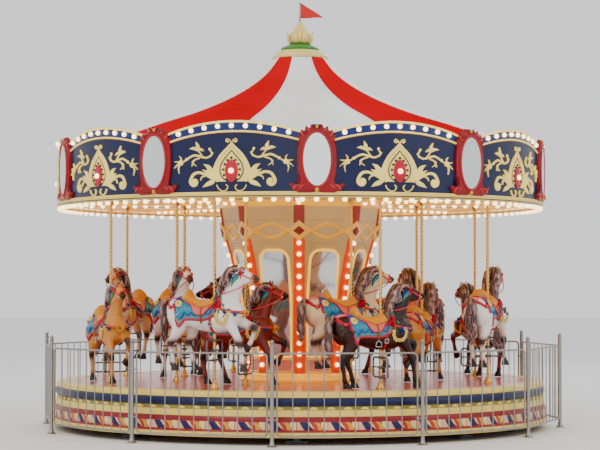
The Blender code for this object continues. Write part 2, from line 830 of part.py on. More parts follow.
def make_gate(material):
    """The gate hangs on two knuckles at its left end, seen from outside."""
    left = hinge_x() + 0.02
    right = half_chord() - PANEL_TO_POST
    width = right - left
    shells = [placed(panel_shell(width), shift=((left + right) / 2 - hinge_x(), 0, 0))]
    for z in STUB_HEIGHTS:
        knuckle = solid_lathe([(HINGE_RADIUS, z - 0.012), (HINGE_RADIUS, z + 0.03)], 6)
        leaf = box((0, -0.006, z - 0.008), (0.03, 0.006, z + 0.02))
        shells += [knuckle, leaf]
    free_edge = right - hinge_x()
    latch_height = STUB_HEIGHTS[1]
    low = (free_edge - 0.005, -0.008, latch_height - 0.01)
    high = (free_edge + 0.022, 0.008, latch_height + 0.01)
    latch = box(low, high)
    shells.append(latch)
    turn = panel_angle(GATE_INDEX)
    matrix = Matrix.Rotation(turn, 3, "Z")
    pivot = make_pivot("gate_hinge", location=matrix @ Vector((hinge_x(), -fence_line(), 0)), angle=turn)
    return place("fence_gate", joined("fence_gate", shells), material, pivot)


def main():
    clear_scene()
    steel = make_material("stainless_steel", STEEL, 0.3, 0.9)
    dark = make_material("dark_steel", DARK_STEEL, 0.45, 0.7)
    brass = make_material("brass", BRASS, 0.3, 1.0)
    paint = {
        name: make_material(name, colour, roughness)
        for name, colour, roughness in (
            ("deck_pink", (0.55, 0.22, 0.20), 0.25),
            ("skirt_navy", NAVY, 0.3),
            ("casing_cream", CREAM, 0.4),
            ("ceiling_gold", (0.70, 0.50, 0.20), 0.4),
            ("crown_navy", NAVY, 0.3),
            ("canopy_red", (0.66, 0.01, 0.015), 0.2),
            ("cap_green", (0.05, 0.22, 0.03), 0.4),
            ("finial_cream", CREAM, 0.45),
            ("pennant_red", (0.70, 0.02, 0.02), 0.6),
        )
    }
    coats = {name: make_material("coat_" + name, colour, 0.25) for name, colour in COATS.items()}
    make_base_frame(dark)
    make_centre_mast(dark)
    make_drive_motor(dark)
    make_drive_pinion(steel)
    make_crown_gear(steel)
    turntable = make_pivot("turntable_axis")
    make_slew_gear(steel, turntable)
    make_platform_frame(dark, turntable)
    make_platform_deck(paint["deck_pink"], turntable)
    make_platform_skirt(paint["skirt_navy"], turntable)
    make_column_casing(paint["casing_cream"], turntable)
    make_ceiling(paint["ceiling_gold"], turntable)
    make_sweep_frame(dark, turntable)
    make_rounding_boards(paint["crown_navy"], turntable)
    make_canopy(paint["canopy_red"], turntable)
    make_cap(paint["cap_green"], turntable)
    make_finial(paint["finial_cream"], turntable)
    make_pennant(paint["pennant_red"], turntable)
    for index in range(STATIONS):
        make_crank(index, steel, turntable)
    make_horses(turntable, coats, brass)
    make_fence(steel)
    make_gate(steel)


main()
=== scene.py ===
"""The looks of a sixteen-horse merry-go-round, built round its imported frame, in metres, +Z up.

Pieces that repeat round the ride are drawn in a front frame, where -Y points outwards from the
mast and +X is the way the ride turns, and are then turned about Z to their bearing."""

import math

import bmesh
import bpy
import numpy as np
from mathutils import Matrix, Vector
from mathutils.bvhtree import BVHTree


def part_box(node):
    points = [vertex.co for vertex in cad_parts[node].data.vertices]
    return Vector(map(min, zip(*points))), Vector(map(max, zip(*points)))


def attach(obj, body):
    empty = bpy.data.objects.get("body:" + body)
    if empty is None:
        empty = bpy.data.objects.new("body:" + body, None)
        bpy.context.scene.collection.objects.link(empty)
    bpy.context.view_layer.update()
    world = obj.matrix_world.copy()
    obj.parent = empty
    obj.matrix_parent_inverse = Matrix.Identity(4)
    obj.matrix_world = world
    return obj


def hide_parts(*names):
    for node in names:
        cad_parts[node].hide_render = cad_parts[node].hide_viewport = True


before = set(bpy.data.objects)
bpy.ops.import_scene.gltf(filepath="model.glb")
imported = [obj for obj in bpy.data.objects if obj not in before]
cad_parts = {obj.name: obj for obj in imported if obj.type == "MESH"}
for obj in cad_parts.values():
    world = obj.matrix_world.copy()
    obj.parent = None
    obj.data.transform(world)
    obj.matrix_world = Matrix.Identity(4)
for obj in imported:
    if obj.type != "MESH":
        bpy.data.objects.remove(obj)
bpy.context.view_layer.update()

# Sizes that the frame gives
DECK_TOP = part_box("platform_deck")[1][2]
DECK_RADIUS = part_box("platform_deck")[1][0]
SKIRT_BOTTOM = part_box("platform_skirt")[0][2]
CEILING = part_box("ceiling_panels")[0][2]
RIM_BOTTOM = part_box("rounding_boards")[0][2]
BOARD_HIGH_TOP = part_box("rounding_boards")[1][2]
CAP_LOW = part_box("canopy_cap")[0][2]
CAP_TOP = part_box("canopy_cap")[1][2]
STAFF_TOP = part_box("finial")[1][2]
FENCE_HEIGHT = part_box("fence_right")[1][2]

# Plan of the ride
CROWN_RADIUS = 3.0
OUTER_ROW = 0.812 * CROWN_RADIUS
INNER_ROW = 0.535 * CROWN_RADIUS
STATIONS = 8
FIRST_STATION = math.radians(22.5)
CRANK_THROW = 0.095
HOOF_MID = DECK_TOP + 0.01 + CRANK_THROW
CROWN_TURN = math.radians(4.2)
CROWN_PANELS = 10
PANEL_PITCH = 2 * math.pi / CROWN_PANELS
BOARD_LOW_TOP = 3.356
FENCE_POSTS = 12
FENCE_PITCH = 2 * math.pi / FENCE_POSTS
FENCE_TURN = math.radians(-4.7)
FENCE_RADIUS = CROWN_RADIUS + 0.2
GATE_INDEX = 6


def linear(red, green, blue):
    """A colour given as 0-255 display values, as the shader wants it."""
    values = []
    for value in (red, green, blue):
        value /= 255
        values.append(value / 12.92 if value <= 0.04045 else ((value + 0.055) / 1.055) ** 2.4)
    return tuple(values)


CREAM = linear(242, 210, 104)
GOLD = linear(222, 158, 34)
NAVY = linear(10, 22, 72)
ROSE_RED = linear(188, 14, 46)
SALMON = linear(226, 92, 84)
TURQUOISE = linear(20, 122, 156)
BLUE = linear(16, 66, 150)
LEAF = linear(62, 132, 96)
SADDLE_TAN = linear(214, 138, 36)
HAIR_DARK = linear(72, 33, 35)
HAIR_PALE = linear(206, 168, 156)
SILVER = linear(190, 190, 186)


# Curves


def smooth(xs, ys, x):
    """A smooth curve through points, read at x: a cubic between each pair."""
    xs = np.asarray(xs, float)
    ys = np.asarray(ys, float)
    slopes = np.gradient(ys, xs, axis=0)
    i = int(np.clip(np.searchsorted(xs, x) - 1, 0, len(xs) - 2))
    span = xs[i + 1] - xs[i]
    t = min(max((x - xs[i]) / span, 0.0), 1.0)
    a = (2 * t**3 - 3 * t**2 + 1) * ys[i] + (t**3 - 2 * t**2 + t) * span * slopes[i]
    return a + (3 * t**2 - 2 * t**3) * ys[i + 1] + (t**3 - t**2) * span * slopes[i + 1]


def resample(points, count):
    """A smooth curve through a few points, as evenly counted points."""
    points = np.asarray(points, float)
    places = np.arange(len(points))
    return [smooth(places, points, t) for t in np.linspace(0, len(points) - 1, count)]


def spiral(centre, start, end, turns_from, turns_to, count=14):
    """Points of a scroll that winds from one radius to another about its centre."""
    path = []
    for t in np.linspace(0, 1, count):
        radius = start + (end - start) * t
        angle = 2 * math.pi * (turns_from + (turns_to - turns_from) * t)
        path.append((centre[0] + radius * math.cos(angle), centre[1] + radius * math.sin(angle)))
    return path


# Shells: each is (points, faces)


def skin(rings, closed=False, caps=True):
    """A shell through rings of equal size, closed on itself or capped at both ends."""
    size = len(rings[0])
    points = [tuple(point) for ring in rings for point in ring]
    faces = []
    for i in range(len(rings) if closed else len(rings) - 1):
        a = i * size
        b = (i + 1) % len(rings) * size
        for j in range(size):
            k = (j + 1) % size
            faces.append((a + j, a + k, b + k, b + j))
    if caps and not closed:
        faces.append(tuple(reversed(range(size))))
        faces.append(tuple((len(rings) - 1) * size + j for j in range(size)))
    return points, faces


def around(steps, turn=0.0):
    """Unit (x, y) directions round the mast, starting from the front."""
    angles = [turn + 2 * math.pi * step / steps for step in range(steps)]
    return [(math.sin(angle), -math.cos(angle)) for angle in angles]


def solid_lathe(profile, steps, turn=0.0):
    """A solid of revolution through (radius, z) stations, from its foot up."""
    ways = around(steps, turn)
    return skin([[(radius * x, radius * y, z) for x, y in ways] for radius, z in profile])


def ring_lathe(section, steps, turn=0.0):
    """A ring whose (radius, z) section runs clockwise, seen with the mast on the left."""
    ways = around(steps, turn)
    return skin([[(radius * x, radius * y, z) for radius, z in section] for x, y in ways], closed=True)


def ball(centre, radius, steps=10, squash=(1, 1, 1)):
    """A sphere, or an ellipsoid when squashed along X, Y or Z."""
    rings = []
    rows = max(steps // 2, 4)
    for i in range(1, rows):
        tilt = math.pi * i / rows
        ring = []
        for x, y in around(steps):
            reach = radius * math.sin(tilt)
            ring.append(
                (
                    centre[0] + reach * x * squash[0],
                    centre[1] + reach * y * squash[1],
                    centre[2] - radius * math.cos(tilt) * squash[2],
                )
            )
        rings.append(ring)
    return skin(rings)


def tube(path, radii, sides=8, closed=False, flat=1.0, lobes=0.0, twist=0.0):
    """A tube along a path. flat squeezes its section, and lobes with twist make it a rope."""
    stops = [Vector(stop) for stop in path]
    count = len(stops)
    radii = spread(radii, count)
    tangents = []
    for i in range(count):
        before = stops[i - 1] if (i > 0 or closed) else stops[i]
        after = stops[(i + 1) % count] if (i + 1 < count or closed) else stops[i]
        tangents.append((after - before).normalized())
    side = tangents[0].orthogonal().normalized()
    if abs(tangents[0].z) < 0.99:
        side = tangents[0].cross(Vector((0, 0, 1))).normalized()
    rings = []
    for i, here in enumerate(stops):
        side = (side - tangents[i] * side.dot(tangents[i])).normalized()
        other = tangents[i].cross(side)
        ring = []
        for j in range(sides):
            angle = 2 * math.pi * j / sides + twist * i
            reach = radii[i] * (1 + lobes * math.cos(4 * 2 * math.pi * j / sides))
            ring.append(here + reach * (side * math.cos(angle) + other * math.sin(angle) * flat))
        rings.append(ring)
    return skin(rings, closed=closed)


def spread(values, count):
    """One value, or several spaced evenly along a line, read at count places on it."""
    if not hasattr(values, "__len__"):
        return [values] * count
    places = np.linspace(0, len(values) - 1, count)
    return [float(np.interp(t, range(len(values)), values)) for t in places]


def stroke(path, widths, place, height, count=None):
    """A rounded raised line along a path in the plane that place() maps into space."""
    if count:
        path = resample(path, count)
    widths = spread(widths, len(path))
    rings = []
    for i, (u, v) in enumerate(path):
        before = path[max(i - 1, 0)]
        after = path[min(i + 1, len(path) - 1)]
        along = Vector((after[0] - before[0], after[1] - before[1])).normalized()
        across = Vector((-along.y, along.x)) * widths[i] / 2
        ring = []
        for share, rise in ((-1, 0), (-0.8, 0.6), (0, 1), (0.8, 0.6), (1, 0)):
            ring.append(place(u + across.x * share, v + across.y * share, height * rise))
        rings.append(ring)
    return skin(rings)


def blob(outline, place, height, edge=0.8):
    """A raised flat shape with a bevelled edge, from its outline in the plane."""
    middle = np.mean(np.asarray(outline, float), axis=0)
    rings = [
        [place(u, v, 0) for u, v in outline],
        [place(u, v, height * 0.7) for u, v in outline],
        [place(*(middle + (np.array(p) - middle) * (1 - 0.12 * edge)), height) for p in outline],
    ]
    points, faces = skin(rings, caps=False)
    flat = bmesh.new()
    verts = [flat.verts.new(tuple(place(u, v, 0))) for u, v in outline]
    face = flat.faces.new(verts)
    flat.faces.ensure_lookup_table()
    result = bmesh.ops.triangulate(flat, faces=[face])
    flat.verts.index_update()
    size = len(outline)
    top = 2 * size
    for triangle in result["faces"]:
        corners = [vert.index for vert in triangle.verts]
        faces.append(tuple(top + corner for corner in corners))
        faces.append(tuple(reversed(corners)))
    flat.free()
    return points, faces


def patch(us, v_low, v_high, place, low, high, rows=6):
    """A thin closed panel between two edge curves, laid on the surface that place() maps."""
    columns = len(us)
    points = []
    for level in (low, high):
        for u in us:
            for row in range(rows + 1):
                v = v_low(u) + (v_high(u) - v_low(u)) * row / rows
                rise = level(u, v) if callable(level) else level
                points.append(tuple(place(u, v, rise)))
    step = rows + 1
    layer = columns * step
    faces = []
    for i in range(columns - 1):
        for j in range(rows):
            a = i * step + j
            faces.append((a, a + 1, a + step + 1, a + step))
            faces.append((layer + a, layer + a + step, layer + a + step + 1, layer + a + 1))
    rim = [i * step for i in range(columns)]
    rim += [(columns - 1) * step + j for j in range(1, rows + 1)]
    rim += [i * step + rows for i in range(columns - 2, -1, -1)]
    rim += [j for j in range(rows - 1, 0, -1)]
    for i, a in enumerate(rim):
        b = rim[(i + 1) % len(rim)]
        faces.append((a, b, b + layer, a + layer))
    return points, faces


def moved(shell, angle=0.0, shift=(0, 0, 0)):
    """A shell shifted, then turned about the mast."""
    points, faces = shell
    array = np.asarray([tuple(point) for point in points], float) + np.asarray(shift, float)
    c, s = math.cos(angle), math.sin(angle)
    array[:, :2] = array[:, :2] @ np.array([[c, s], [-s, c]])
    return array.tolist(), faces


class Build:
    """Shells gathered into one mesh, each with a material slot and a paint colour."""

    def __init__(self):
        self.points = []
        self.faces = []
        self.slots = []
        self.paint = []

    def add(self, shell, slot=0, paint=(1.0, 1.0, 1.0)):
        points, faces = shell
        start = len(self.points)
        self.points += [tuple(point) for point in points]
        self.faces += [tuple(start + i for i in face) for face in faces]
        self.slots += [slot] * len(faces)
        if callable(paint):
            self.paint += [(*paint(Vector(point)), 1.0) for point in points]
        else:
            self.paint += [(*paint, 1.0)] * len(points)
        return self

    def mesh(self, name, sharp=35):
        mesh = bpy.data.meshes.new(name)
        mesh.from_pydata(self.points, [], self.faces)
        mesh.polygons.foreach_set("material_index", self.slots)
        colour = mesh.color_attributes.new("paint", "FLOAT_COLOR", "POINT")
        colour.data.foreach_set("color", np.asarray(self.paint, np.float32).ravel())
        work = bmesh.new()
        work.from_mesh(mesh)
        bmesh.ops.recalc_face_normals(work, faces=work.faces)
        work.to_mesh(mesh)
        work.free()
        mesh.shade_smooth()
        mesh.set_sharp_from_angle(angle=math.radians(sharp))
        return mesh


def add_piece(name, mesh, body, materials, replaces=(), location=(0, 0, 0), angle=0.0):
    """Puts a finished mesh in the scene as a piece that rides on a body of the frame."""
    piece = bpy.data.objects.new(name, mesh)
    bpy.context.scene.collection.objects.link(piece)
    piece.location = location
    piece.rotation_euler = (0, 0, angle)
    if not mesh.materials:
        for material in materials:
            mesh.materials.append(material)
    bpy.context.view_layer.update()
    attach(piece, body)
    if replaces:
        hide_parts(*replaces)
    return piece


# Materials


def shader(name):
    material = bpy.data.materials.new(name)
    material.use_nodes = True
    material.node_tree.nodes.clear()
    output = material.node_tree.nodes.new("ShaderNodeOutputMaterial")
    surface = material.node_tree.nodes.new("ShaderNodeBsdfPrincipled")
    material.node_tree.links.new(surface.outputs[0], output.inputs[0])
    return material, material.node_tree, surface


def node(tree, kind, links=(), **settings):
    """A shader node, with its plain settings made and its inputs linked."""
    made = tree.nodes.new(kind)
    for key, value in settings.items():
        setattr(made, key, value)
    for source, socket in links:
        tree.links.new(source, made.inputs[socket])
    return made


def noise(tree, scale, detail=3.0, stretch=(1, 1, 1)):
    where = node(tree, "ShaderNodeTexCoord")
    shape = node(tree, "ShaderNodeMapping", [(where.outputs["Object"], "Vector")])
    shape.inputs["Scale"].default_value = stretch
    made = node(tree, "ShaderNodeTexNoise", [(shape.outputs[0], "Vector")])
    made.inputs["Scale"].default_value = scale
    made.inputs["Detail"].default_value = detail
    return made


def tinted(tree, source, colour, low, high):
    """A colour, brightened and darkened between two factors by a noise."""
    span = node(tree, "ShaderNodeMapRange", [(source.outputs[0], "Value")])
    span.inputs["From Min"].default_value = 0.35
    span.inputs["From Max"].default_value = 0.65
    span.inputs["To Min"].default_value = low
    span.inputs["To Max"].default_value = high
    mix = node(tree, "ShaderNodeVectorMath", [(span.outputs[0], 1)], operation="MULTIPLY")
    if isinstance(colour, tuple):
        mix.inputs[0].default_value = colour
    else:
        tree.links.new(colour, mix.inputs[0])
    return mix.outputs[0]


def bumped(tree, surface, source, strength, distance):
    bump = node(tree, "ShaderNodeBump", [(source.outputs[0], "Height")])
    bump.inputs["Strength"].default_value = strength
    bump.inputs["Distance"].default_value = distance
    tree.links.new(bump.outputs[0], surface.inputs["Normal"])


def painted(
    name, colour=None, rough=0.32, coat=0.5, grain=30.0, spread=0.1, relief=0.0006, glow=0.0, shine=0.5
):
    """Gloss paint on moulded plastic or steel. With no colour it takes the mesh's own paint. A glow makes
    it light itself, as painted light.
    """
    material, tree, surface = shader(name)
    fine = noise(tree, grain, 4.0)
    broad = noise(tree, grain / 12)
    if colour is None:
        colour = node(tree, "ShaderNodeAttribute", attribute_name="paint").outputs["Color"]
    tone = tinted(tree, broad, colour, 1 - spread, 1 + spread * 0.6)
    tree.links.new(tone, surface.inputs["Base Color"])
    surface.inputs["Coat Weight"].default_value = coat
    surface.inputs["Specular IOR Level"].default_value = shine
    surface.inputs["Coat Roughness"].default_value = 0.12
    gloss = node(tree, "ShaderNodeMapRange", [(fine.outputs[0], "Value")])
    gloss.inputs["To Min"].default_value = rough - 0.06
    gloss.inputs["To Max"].default_value = rough + 0.08
    tree.links.new(gloss.outputs[0], surface.inputs["Roughness"])
    bumped(tree, surface, fine, 0.25, relief)
    # A glow is painted light: it stands in for the light of nearby bulbs falling on a part that is no lamp.
    if glow:
        tree.links.new(tone, surface.inputs["Emission Color"])
        surface.inputs["Emission Strength"].default_value = glow
    return material


def brushed(name, colour, rough=0.3, stretch=(1, 1, 12)):
    """Bright bare metal with a faint grain along it."""
    material, tree, surface = shader(name)
    grain = noise(tree, 60.0, 4.0, stretch)
    tree.links.new(tinted(tree, grain, colour, 0.9, 1.06), surface.inputs["Base Color"])
    surface.inputs["Metallic"].default_value = 1.0
    gloss = node(tree, "ShaderNodeMapRange", [(grain.outputs[0], "Value")])
    gloss.inputs["To Min"].default_value = rough - 0.08
    gloss.inputs["To Max"].default_value = rough + 0.1
    tree.links.new(gloss.outputs[0], surface.inputs["Roughness"])
    bumped(tree, surface, grain, 0.1, 0.0003)
    return material


def lamp(name, colour, strength):
    """A frosted lit bulb, a little dimmer towards its rim."""
    material, tree, surface = shader(name)
    rim = node(tree, "ShaderNodeLayerWeight")
    rim.inputs["Blend"].default_value = 0.35
    fade = node(tree, "ShaderNodeMapRange", [(rim.outputs["Facing"], "Value")])
    fade.inputs["To Min"].default_value = strength
    fade.inputs["To Max"].default_value = strength * 0.45
    tree.links.new(fade.outputs[0], surface.inputs["Emission Strength"])
    frost = noise(tree, 90.0)
    tone = tinted(tree, frost, colour, 0.94, 1.0)
    tree.links.new(tone, surface.inputs["Base Color"])
    tree.links.new(tone, surface.inputs["Emission Color"])
    surface.inputs["Roughness"].default_value = 0.25
    return material


def mirror_glass(name):
    material, tree, surface = shader(name)
    haze = noise(tree, 3.0)
    tree.links.new(tinted(tree, haze, linear(226, 230, 230), 0.94, 1.0), surface.inputs["Base Color"])
    surface.inputs["Metallic"].default_value = 0.85
    gloss = node(tree, "ShaderNodeMapRange", [(haze.outputs[0], "Value")])
    gloss.inputs["To Min"].default_value = 0.04
    gloss.inputs["To Max"].default_value = 0.1
    tree.links.new(gloss.outputs[0], surface.inputs["Roughness"])
    return material


def hair_paint(name):
    """Moulded locks painted dark with pale streaks that run along them."""
    material, tree, surface = shader(name)
    streak = noise(tree, 30.0, 2.0, (0.8, 2.0, 0.3))
    mix = node(tree, "ShaderNodeMix", data_type="RGBA")
    colour = node(tree, "ShaderNodeAttribute", attribute_name="paint")
    tree.links.new(colour.outputs["Color"], mix.inputs["A"])
    span = node(tree, "ShaderNodeMapRange", [(streak.outputs[0], "Value")])
    span.inputs["From Min"].default_value = 0.52
    span.inputs["From Max"].default_value = 0.8
    tree.links.new(span.outputs[0], mix.inputs["Factor"])
    mix.inputs["B"].default_value = (*HAIR_PALE, 1)
    tree.links.new(mix.outputs["Result"], surface.inputs["Base Color"])
    surface.inputs["Roughness"].default_value = 0.38
    surface.inputs["Coat Weight"].default_value = 0.4
    bumped(tree, surface, streak, 0.5, 0.004)
    return material


def coat_paint(name, colour, spread):
    """A horse's coat: sprayed gloss paint that the mesh's paint darkens at legs, muzzle and hooves, and
    under the belly as painted shade.
    """
    material, tree, surface = shader(name)
    shade = node(tree, "ShaderNodeAttribute", attribute_name="paint")
    broad = noise(tree, 5.0)
    tone = tinted(tree, broad, colour, 1 - spread, 1 + spread * 0.4)
    mix = node(tree, "ShaderNodeVectorMath", [(tone, 0), (shade.outputs["Color"], 1)], operation="MULTIPLY")
    tree.links.new(mix.outputs[0], surface.inputs["Base Color"])
    fine = noise(tree, 60.0)
    surface.inputs["Roughness"].default_value = 0.32
    surface.inputs["Specular IOR Level"].default_value = 0.3
    surface.inputs["Coat Weight"].default_value = 0.1
    surface.inputs["Coat Roughness"].default_value = 0.1
    bumped(tree, surface, fine, 0.2, 0.0008)
    return material


GLOSS = painted("gloss_paint", coat=0.12, shine=0.3)
# Painted light: the mirror trims glow as if lit by the column bulbs, though they are no lamps.
TRIM_LIT = painted("lit_trim", linear(255, 196, 56), glow=1.05)
# Painted light: the gilt relief on the casing glows a little, for the bulbs' light falling on it.
GILT_PAINTED_GLOW = painted("gilt_relief_painted_glow", linear(244, 186, 48), rough=0.3, glow=0.22)
# Painted light: the gold mouldings at the column's foot and top and under the ceiling glow, for the bulbs'
# light falling on them.
GOLD_LIT = painted("lit_gold", linear(246, 176, 40), rough=0.28, glow=0.7)
# Painted light: the red strips that carry bulbs are painted a brighter orange and glow, for the light of
# their bulbs; the strips are no lamps.
STRIP_LIT = painted("lit_red_strip", linear(240, 78, 0), glow=0.12, coat=0.0, shine=0.0)
BULB = lamp("warm_bulb", linear(255, 226, 166), 4.5)
BRASS = brushed("twisted_brass", linear(226, 178, 92), 0.24)
STAINLESS = brushed("satin_stainless", linear(158, 155, 150), 0.32)
STEEL_GREY = brushed("grey_steel", linear(112, 112, 114), 0.38)
MIRROR = mirror_glass("mirror")
DECK_PINK = painted(
    "deck_pink_gloss", linear(204, 88, 72), rough=0.24, coat=0.3, shine=0.35, grain=14.0, spread=0.03,
    relief=0.0002,
)
CANOPY_RED = painted(
    "canopy_red_gloss", linear(204, 4, 24), rough=0.4, coat=0.0, grain=9.0, relief=0.001, shine=0.0
)
CANOPY_WHITE = painted(
    "canopy_white_gloss", linear(240, 239, 236), rough=0.36, coat=0.0, grain=9.0, relief=0.001, shine=0.1
)
# Painted light: the ceiling panels under the canopy glow, for the bulbs' light falling on them.
CEILING_TAN_PAINTED_GLOW = painted("ceiling_tan_painted_glow", linear(232, 182, 74), rough=0.4, glow=0.4)
# Painted light: the crown's cream trims glow, for the light of the crown bulbs falling on them.
CREAM_LIT = painted("lit_cream_trim", glow=0.4, coat=0.1, shine=0.3)
CLOTH_RED = painted("pennant_cloth", linear(212, 30, 26), rough=0.75, coat=0.0, grain=160.0)
HAIR = hair_paint("streaked_hair")
COATS = {
    "palomino": coat_paint("palomino_coat", linear(210, 142, 58), 0.14),
    "white": coat_paint("white_coat", linear(236, 232, 226), 0.06),
    "black": coat_paint("black_coat", linear(46, 12, 7), 0.2),
    "chestnut": coat_paint("chestnut_coat", linear(122, 32, 14), 0.16),
    "cream": coat_paint("cream_coat", linear(226, 196, 150), 0.1),
}


# Deck, skirt and the lower edge


def on_cylinder(radius):
    """Maps (metres round, height, metres outwards) onto a cylinder round the mast."""

    def place(u, v, h):
        angle = u / radius
        return ((radius + h) * math.sin(angle), -(radius + h) * math.cos(angle), v)

    return place


def lifted(place, lift):
    """The same map, raised by lift: a height, or a function of the spot."""

    def higher(u, v, h):
        return place(u, v, h + (lift(u, v) if callable(lift) else lift))

    return higher


def repeat(build, shell, count, slot=0, paint=(1, 1, 1), turn=0.0):
    """Adds copies of a shell at even steps round the mast."""
    for i in range(count):
        build.add(moved(shell, turn + 2 * math.pi * i / count), slot, paint)


FINE_STEPS = 240
EDGE = CROWN_RADIUS + 0.05
SKIRT_INNER = DECK_RADIUS + 0.005
PATTERN_LOW = 0.162
PATTERN_TOP = 0.26
MOTIFS = 56
BUMPS = 100


def skirt_bands():
    """The skirt's mouldings from the deck down: (paint, its outline as (radius, height) points)."""
    return (
        (
            CREAM,
            [(EDGE - 0.09, DECK_TOP), (EDGE - 0.07, 0.572), (EDGE - 0.062, 0.55), (EDGE - 0.066, 0.515)],
        ),
        (
            NAVY,
            [
                (EDGE - 0.068, 0.515), (EDGE - 0.046, 0.5), (EDGE - 0.036, 0.468), (EDGE - 0.048, 0.436),
                (EDGE - 0.072, 0.421),
            ],
        ),
        (linear(150, 136, 62), [(EDGE - 0.076, 0.4215), (EDGE - 0.076, 0.383)]),
        (
            CREAM,
            [
                (EDGE - 0.072, 0.383), (EDGE - 0.056, 0.378), (EDGE - 0.046, 0.35), (EDGE - 0.044, 0.312),
                (EDGE - 0.05, 0.3075),
            ],
        ),
        (linear(140, 22, 30), [(EDGE - 0.046, 0.3075), (EDGE - 0.036, 0.29), (EDGE - 0.034, 0.26)]),
        (linear(176, 30, 34), [(EDGE - 0.03, PATTERN_TOP), (EDGE - 0.03, PATTERN_LOW)]),
        (linear(150, 24, 30), [(EDGE - 0.026, PATTERN_LOW), (EDGE - 0.02, 0.155), (EDGE - 0.018, 0.141)]),
        (CREAM, [(EDGE - 0.016, 0.141), (EDGE - 0.004, 0.132), (EDGE, 0.11), (EDGE - 0.004, SKIRT_BOTTOM)]),
    )


def skirt_motif():
    """One repeat of the painted band: leaning blocks and flame tips in low relief, as (paint, outline)."""
    return (
        (
            linear(236, 190, 160),
            [(0.004, 0.006), (0.078, 0.006), (0.05, 0.05), (0.028, 0.092), (0.004, 0.092)],
        ),
        (
            linear(20, 30, 84),
            [(0.034, 0.093), (0.104, 0.093), (0.136, 0.05), (0.176, 0.005), (0.09, 0.005), (0.062, 0.05)],
        ),
        (
            linear(244, 216, 150),
            [(0.114, 0.093), (0.146, 0.088), (0.168, 0.05), (0.2, 0.01), (0.15, 0.045)],
        ),
        (
            linear(214, 56, 26),
            [(0.152, 0.092), (0.178, 0.09), (0.208, 0.05), (0.222, 0.006), (0.204, 0.008), (0.19, 0.05)],
        ),
        (
            linear(228, 160, 60),
            [(0.188, 0.092), (0.256, 0.084), (0.244, 0.05), (0.29, 0.006), (0.23, 0.006), (0.222, 0.05)],
        ),
        (
            linear(244, 216, 150),
            [(0.266, 0.092), (0.332, 0.092), (0.332, 0.006), (0.3, 0.006), (0.262, 0.05)],
        ),
    )


def make_skirt():
    build = Build()
    for paint, edge in skirt_bands():
        section = [(SKIRT_INNER, edge[0][1]), *edge, (SKIRT_INNER, edge[-1][1])]
        build.add(ring_lathe(section, FINE_STEPS), 0, paint)
    half_round = [(0.046 * math.cos(t), 0.386 + 0.032 * math.sin(t)) for t in np.linspace(0, math.pi, 9)]
    bump = blob(half_round, on_cylinder(EDGE - 0.077), 0.016)
    repeat(build, bump, BUMPS, 0, CREAM)
    pitch = 2 * math.pi * (EDGE - 0.03) / MOTIFS / 0.336
    for paint, outline in skirt_motif():
        stretched = [(u * pitch, PATTERN_LOW + v) for u, v in outline]
        repeat(build, blob(stretched, on_cylinder(EDGE - 0.031), 0.005), MOTIFS, 0, paint)
    mesh = build.mesh("platform_skirt_looks")
    add_piece("skirt_mouldings", mesh, "turntable", [GLOSS], ["platform_skirt"])


def make_deck_trim():
    build = Build()
    lift = DECK_TOP + 0.002
    for inner, outer, paint in (
        (DECK_RADIUS - 0.17, DECK_RADIUS - 0.085, linear(226, 206, 146)),
        (DECK_RADIUS - 0.085, DECK_RADIUS - 0.072, linear(206, 110, 104)),
        (DECK_RADIUS - 0.072, DECK_RADIUS + 0.008, CREAM),
    ):
        section = [(inner, DECK_TOP), (inner, lift), (outer, lift), (outer, DECK_TOP)]
        build.add(ring_lathe(section, FINE_STEPS), 0, paint)
    add_piece("deck_border", build.mesh("deck_border_looks"), "turntable", [GLOSS])
    seams = Build()
    line = patch([-0.004, 0.004], lambda u: 0.7, lambda u: DECK_RADIUS - 0.17, flat_deck, 0, 0.0012, 8)
    repeat(seams, line, 2 * STATIONS, 0, linear(178, 100, 94), FIRST_STATION / 2)
    add_piece("deck_seams", seams.mesh("deck_seams_looks"), "turntable", [GLOSS])


def flat_deck(u, v, h):
    return (u, -v, DECK_TOP + h)


def make_sockets():
    """Brass bells that the poles slide through, at the deck and under the ceiling."""
    bell = [
        (0.0215, 0.0),
        (0.056, 0.0),
        (0.056, 0.008),
        (0.049, 0.013),
        (0.046, 0.024),
        (0.034, 0.038),
        (0.029, 0.056),
        (0.031, 0.062),
        (0.0285, 0.068),
        (0.0215, 0.068),
    ]
    below = [(radius * 0.9, CEILING - 0.8 * z) for radius, z in bell]
    below = [(max(radius, 0.0215), z) for radius, z in below]
    build = Build()
    foot = [(radius, DECK_TOP + z) for radius, z in bell]
    for row in (OUTER_ROW, INNER_ROW):
        for section in (foot, below):
            socket = moved(ring_lathe(section, 24), shift=(0, -row, 0))
            repeat(build, socket, STATIONS, turn=FIRST_STATION)
    add_piece("pole_sockets", build.mesh("pole_socket_looks"), "turntable", [BRASS])


# Centre column

CASING = (
    (0.66, 0.576), (0.66, 0.66), (0.62, 0.80), (0.65, 0.96), (0.75, 1.54), (0.85, 2.05), (0.95, 2.39),
    (1.01, 2.755),
)
SIDES = 8
HALF_SIDE = math.pi / SIDES
STRIP_HALF = 0.066
BULB_PITCH = 0.134
DIAMOND_HEIGHT = 2.39
MIRROR_LOW = 0.87
MIRROR_TOP = 2.16
MIRROR_HALF = 0.183
MIRROR_SHOULDER = 0.12


def casing_corner(z):
    """The casing's corner radius at a height."""
    radii, heights = zip(*CASING[1:])
    return float(smooth(heights, radii, z))


def on_face(u, v, h):
    """Maps (across, height, outwards) onto the casing side that faces -Y."""
    return (u, -(casing_corner(v) * math.cos(HALF_SIDE) + h), v)


def on_corner(u, v, h):
    """Maps (across, height, outwards) over the casing corner that faces -Y."""
    return (u, -(casing_corner(v) - abs(u) * math.tan(HALF_SIDE) + h), v)


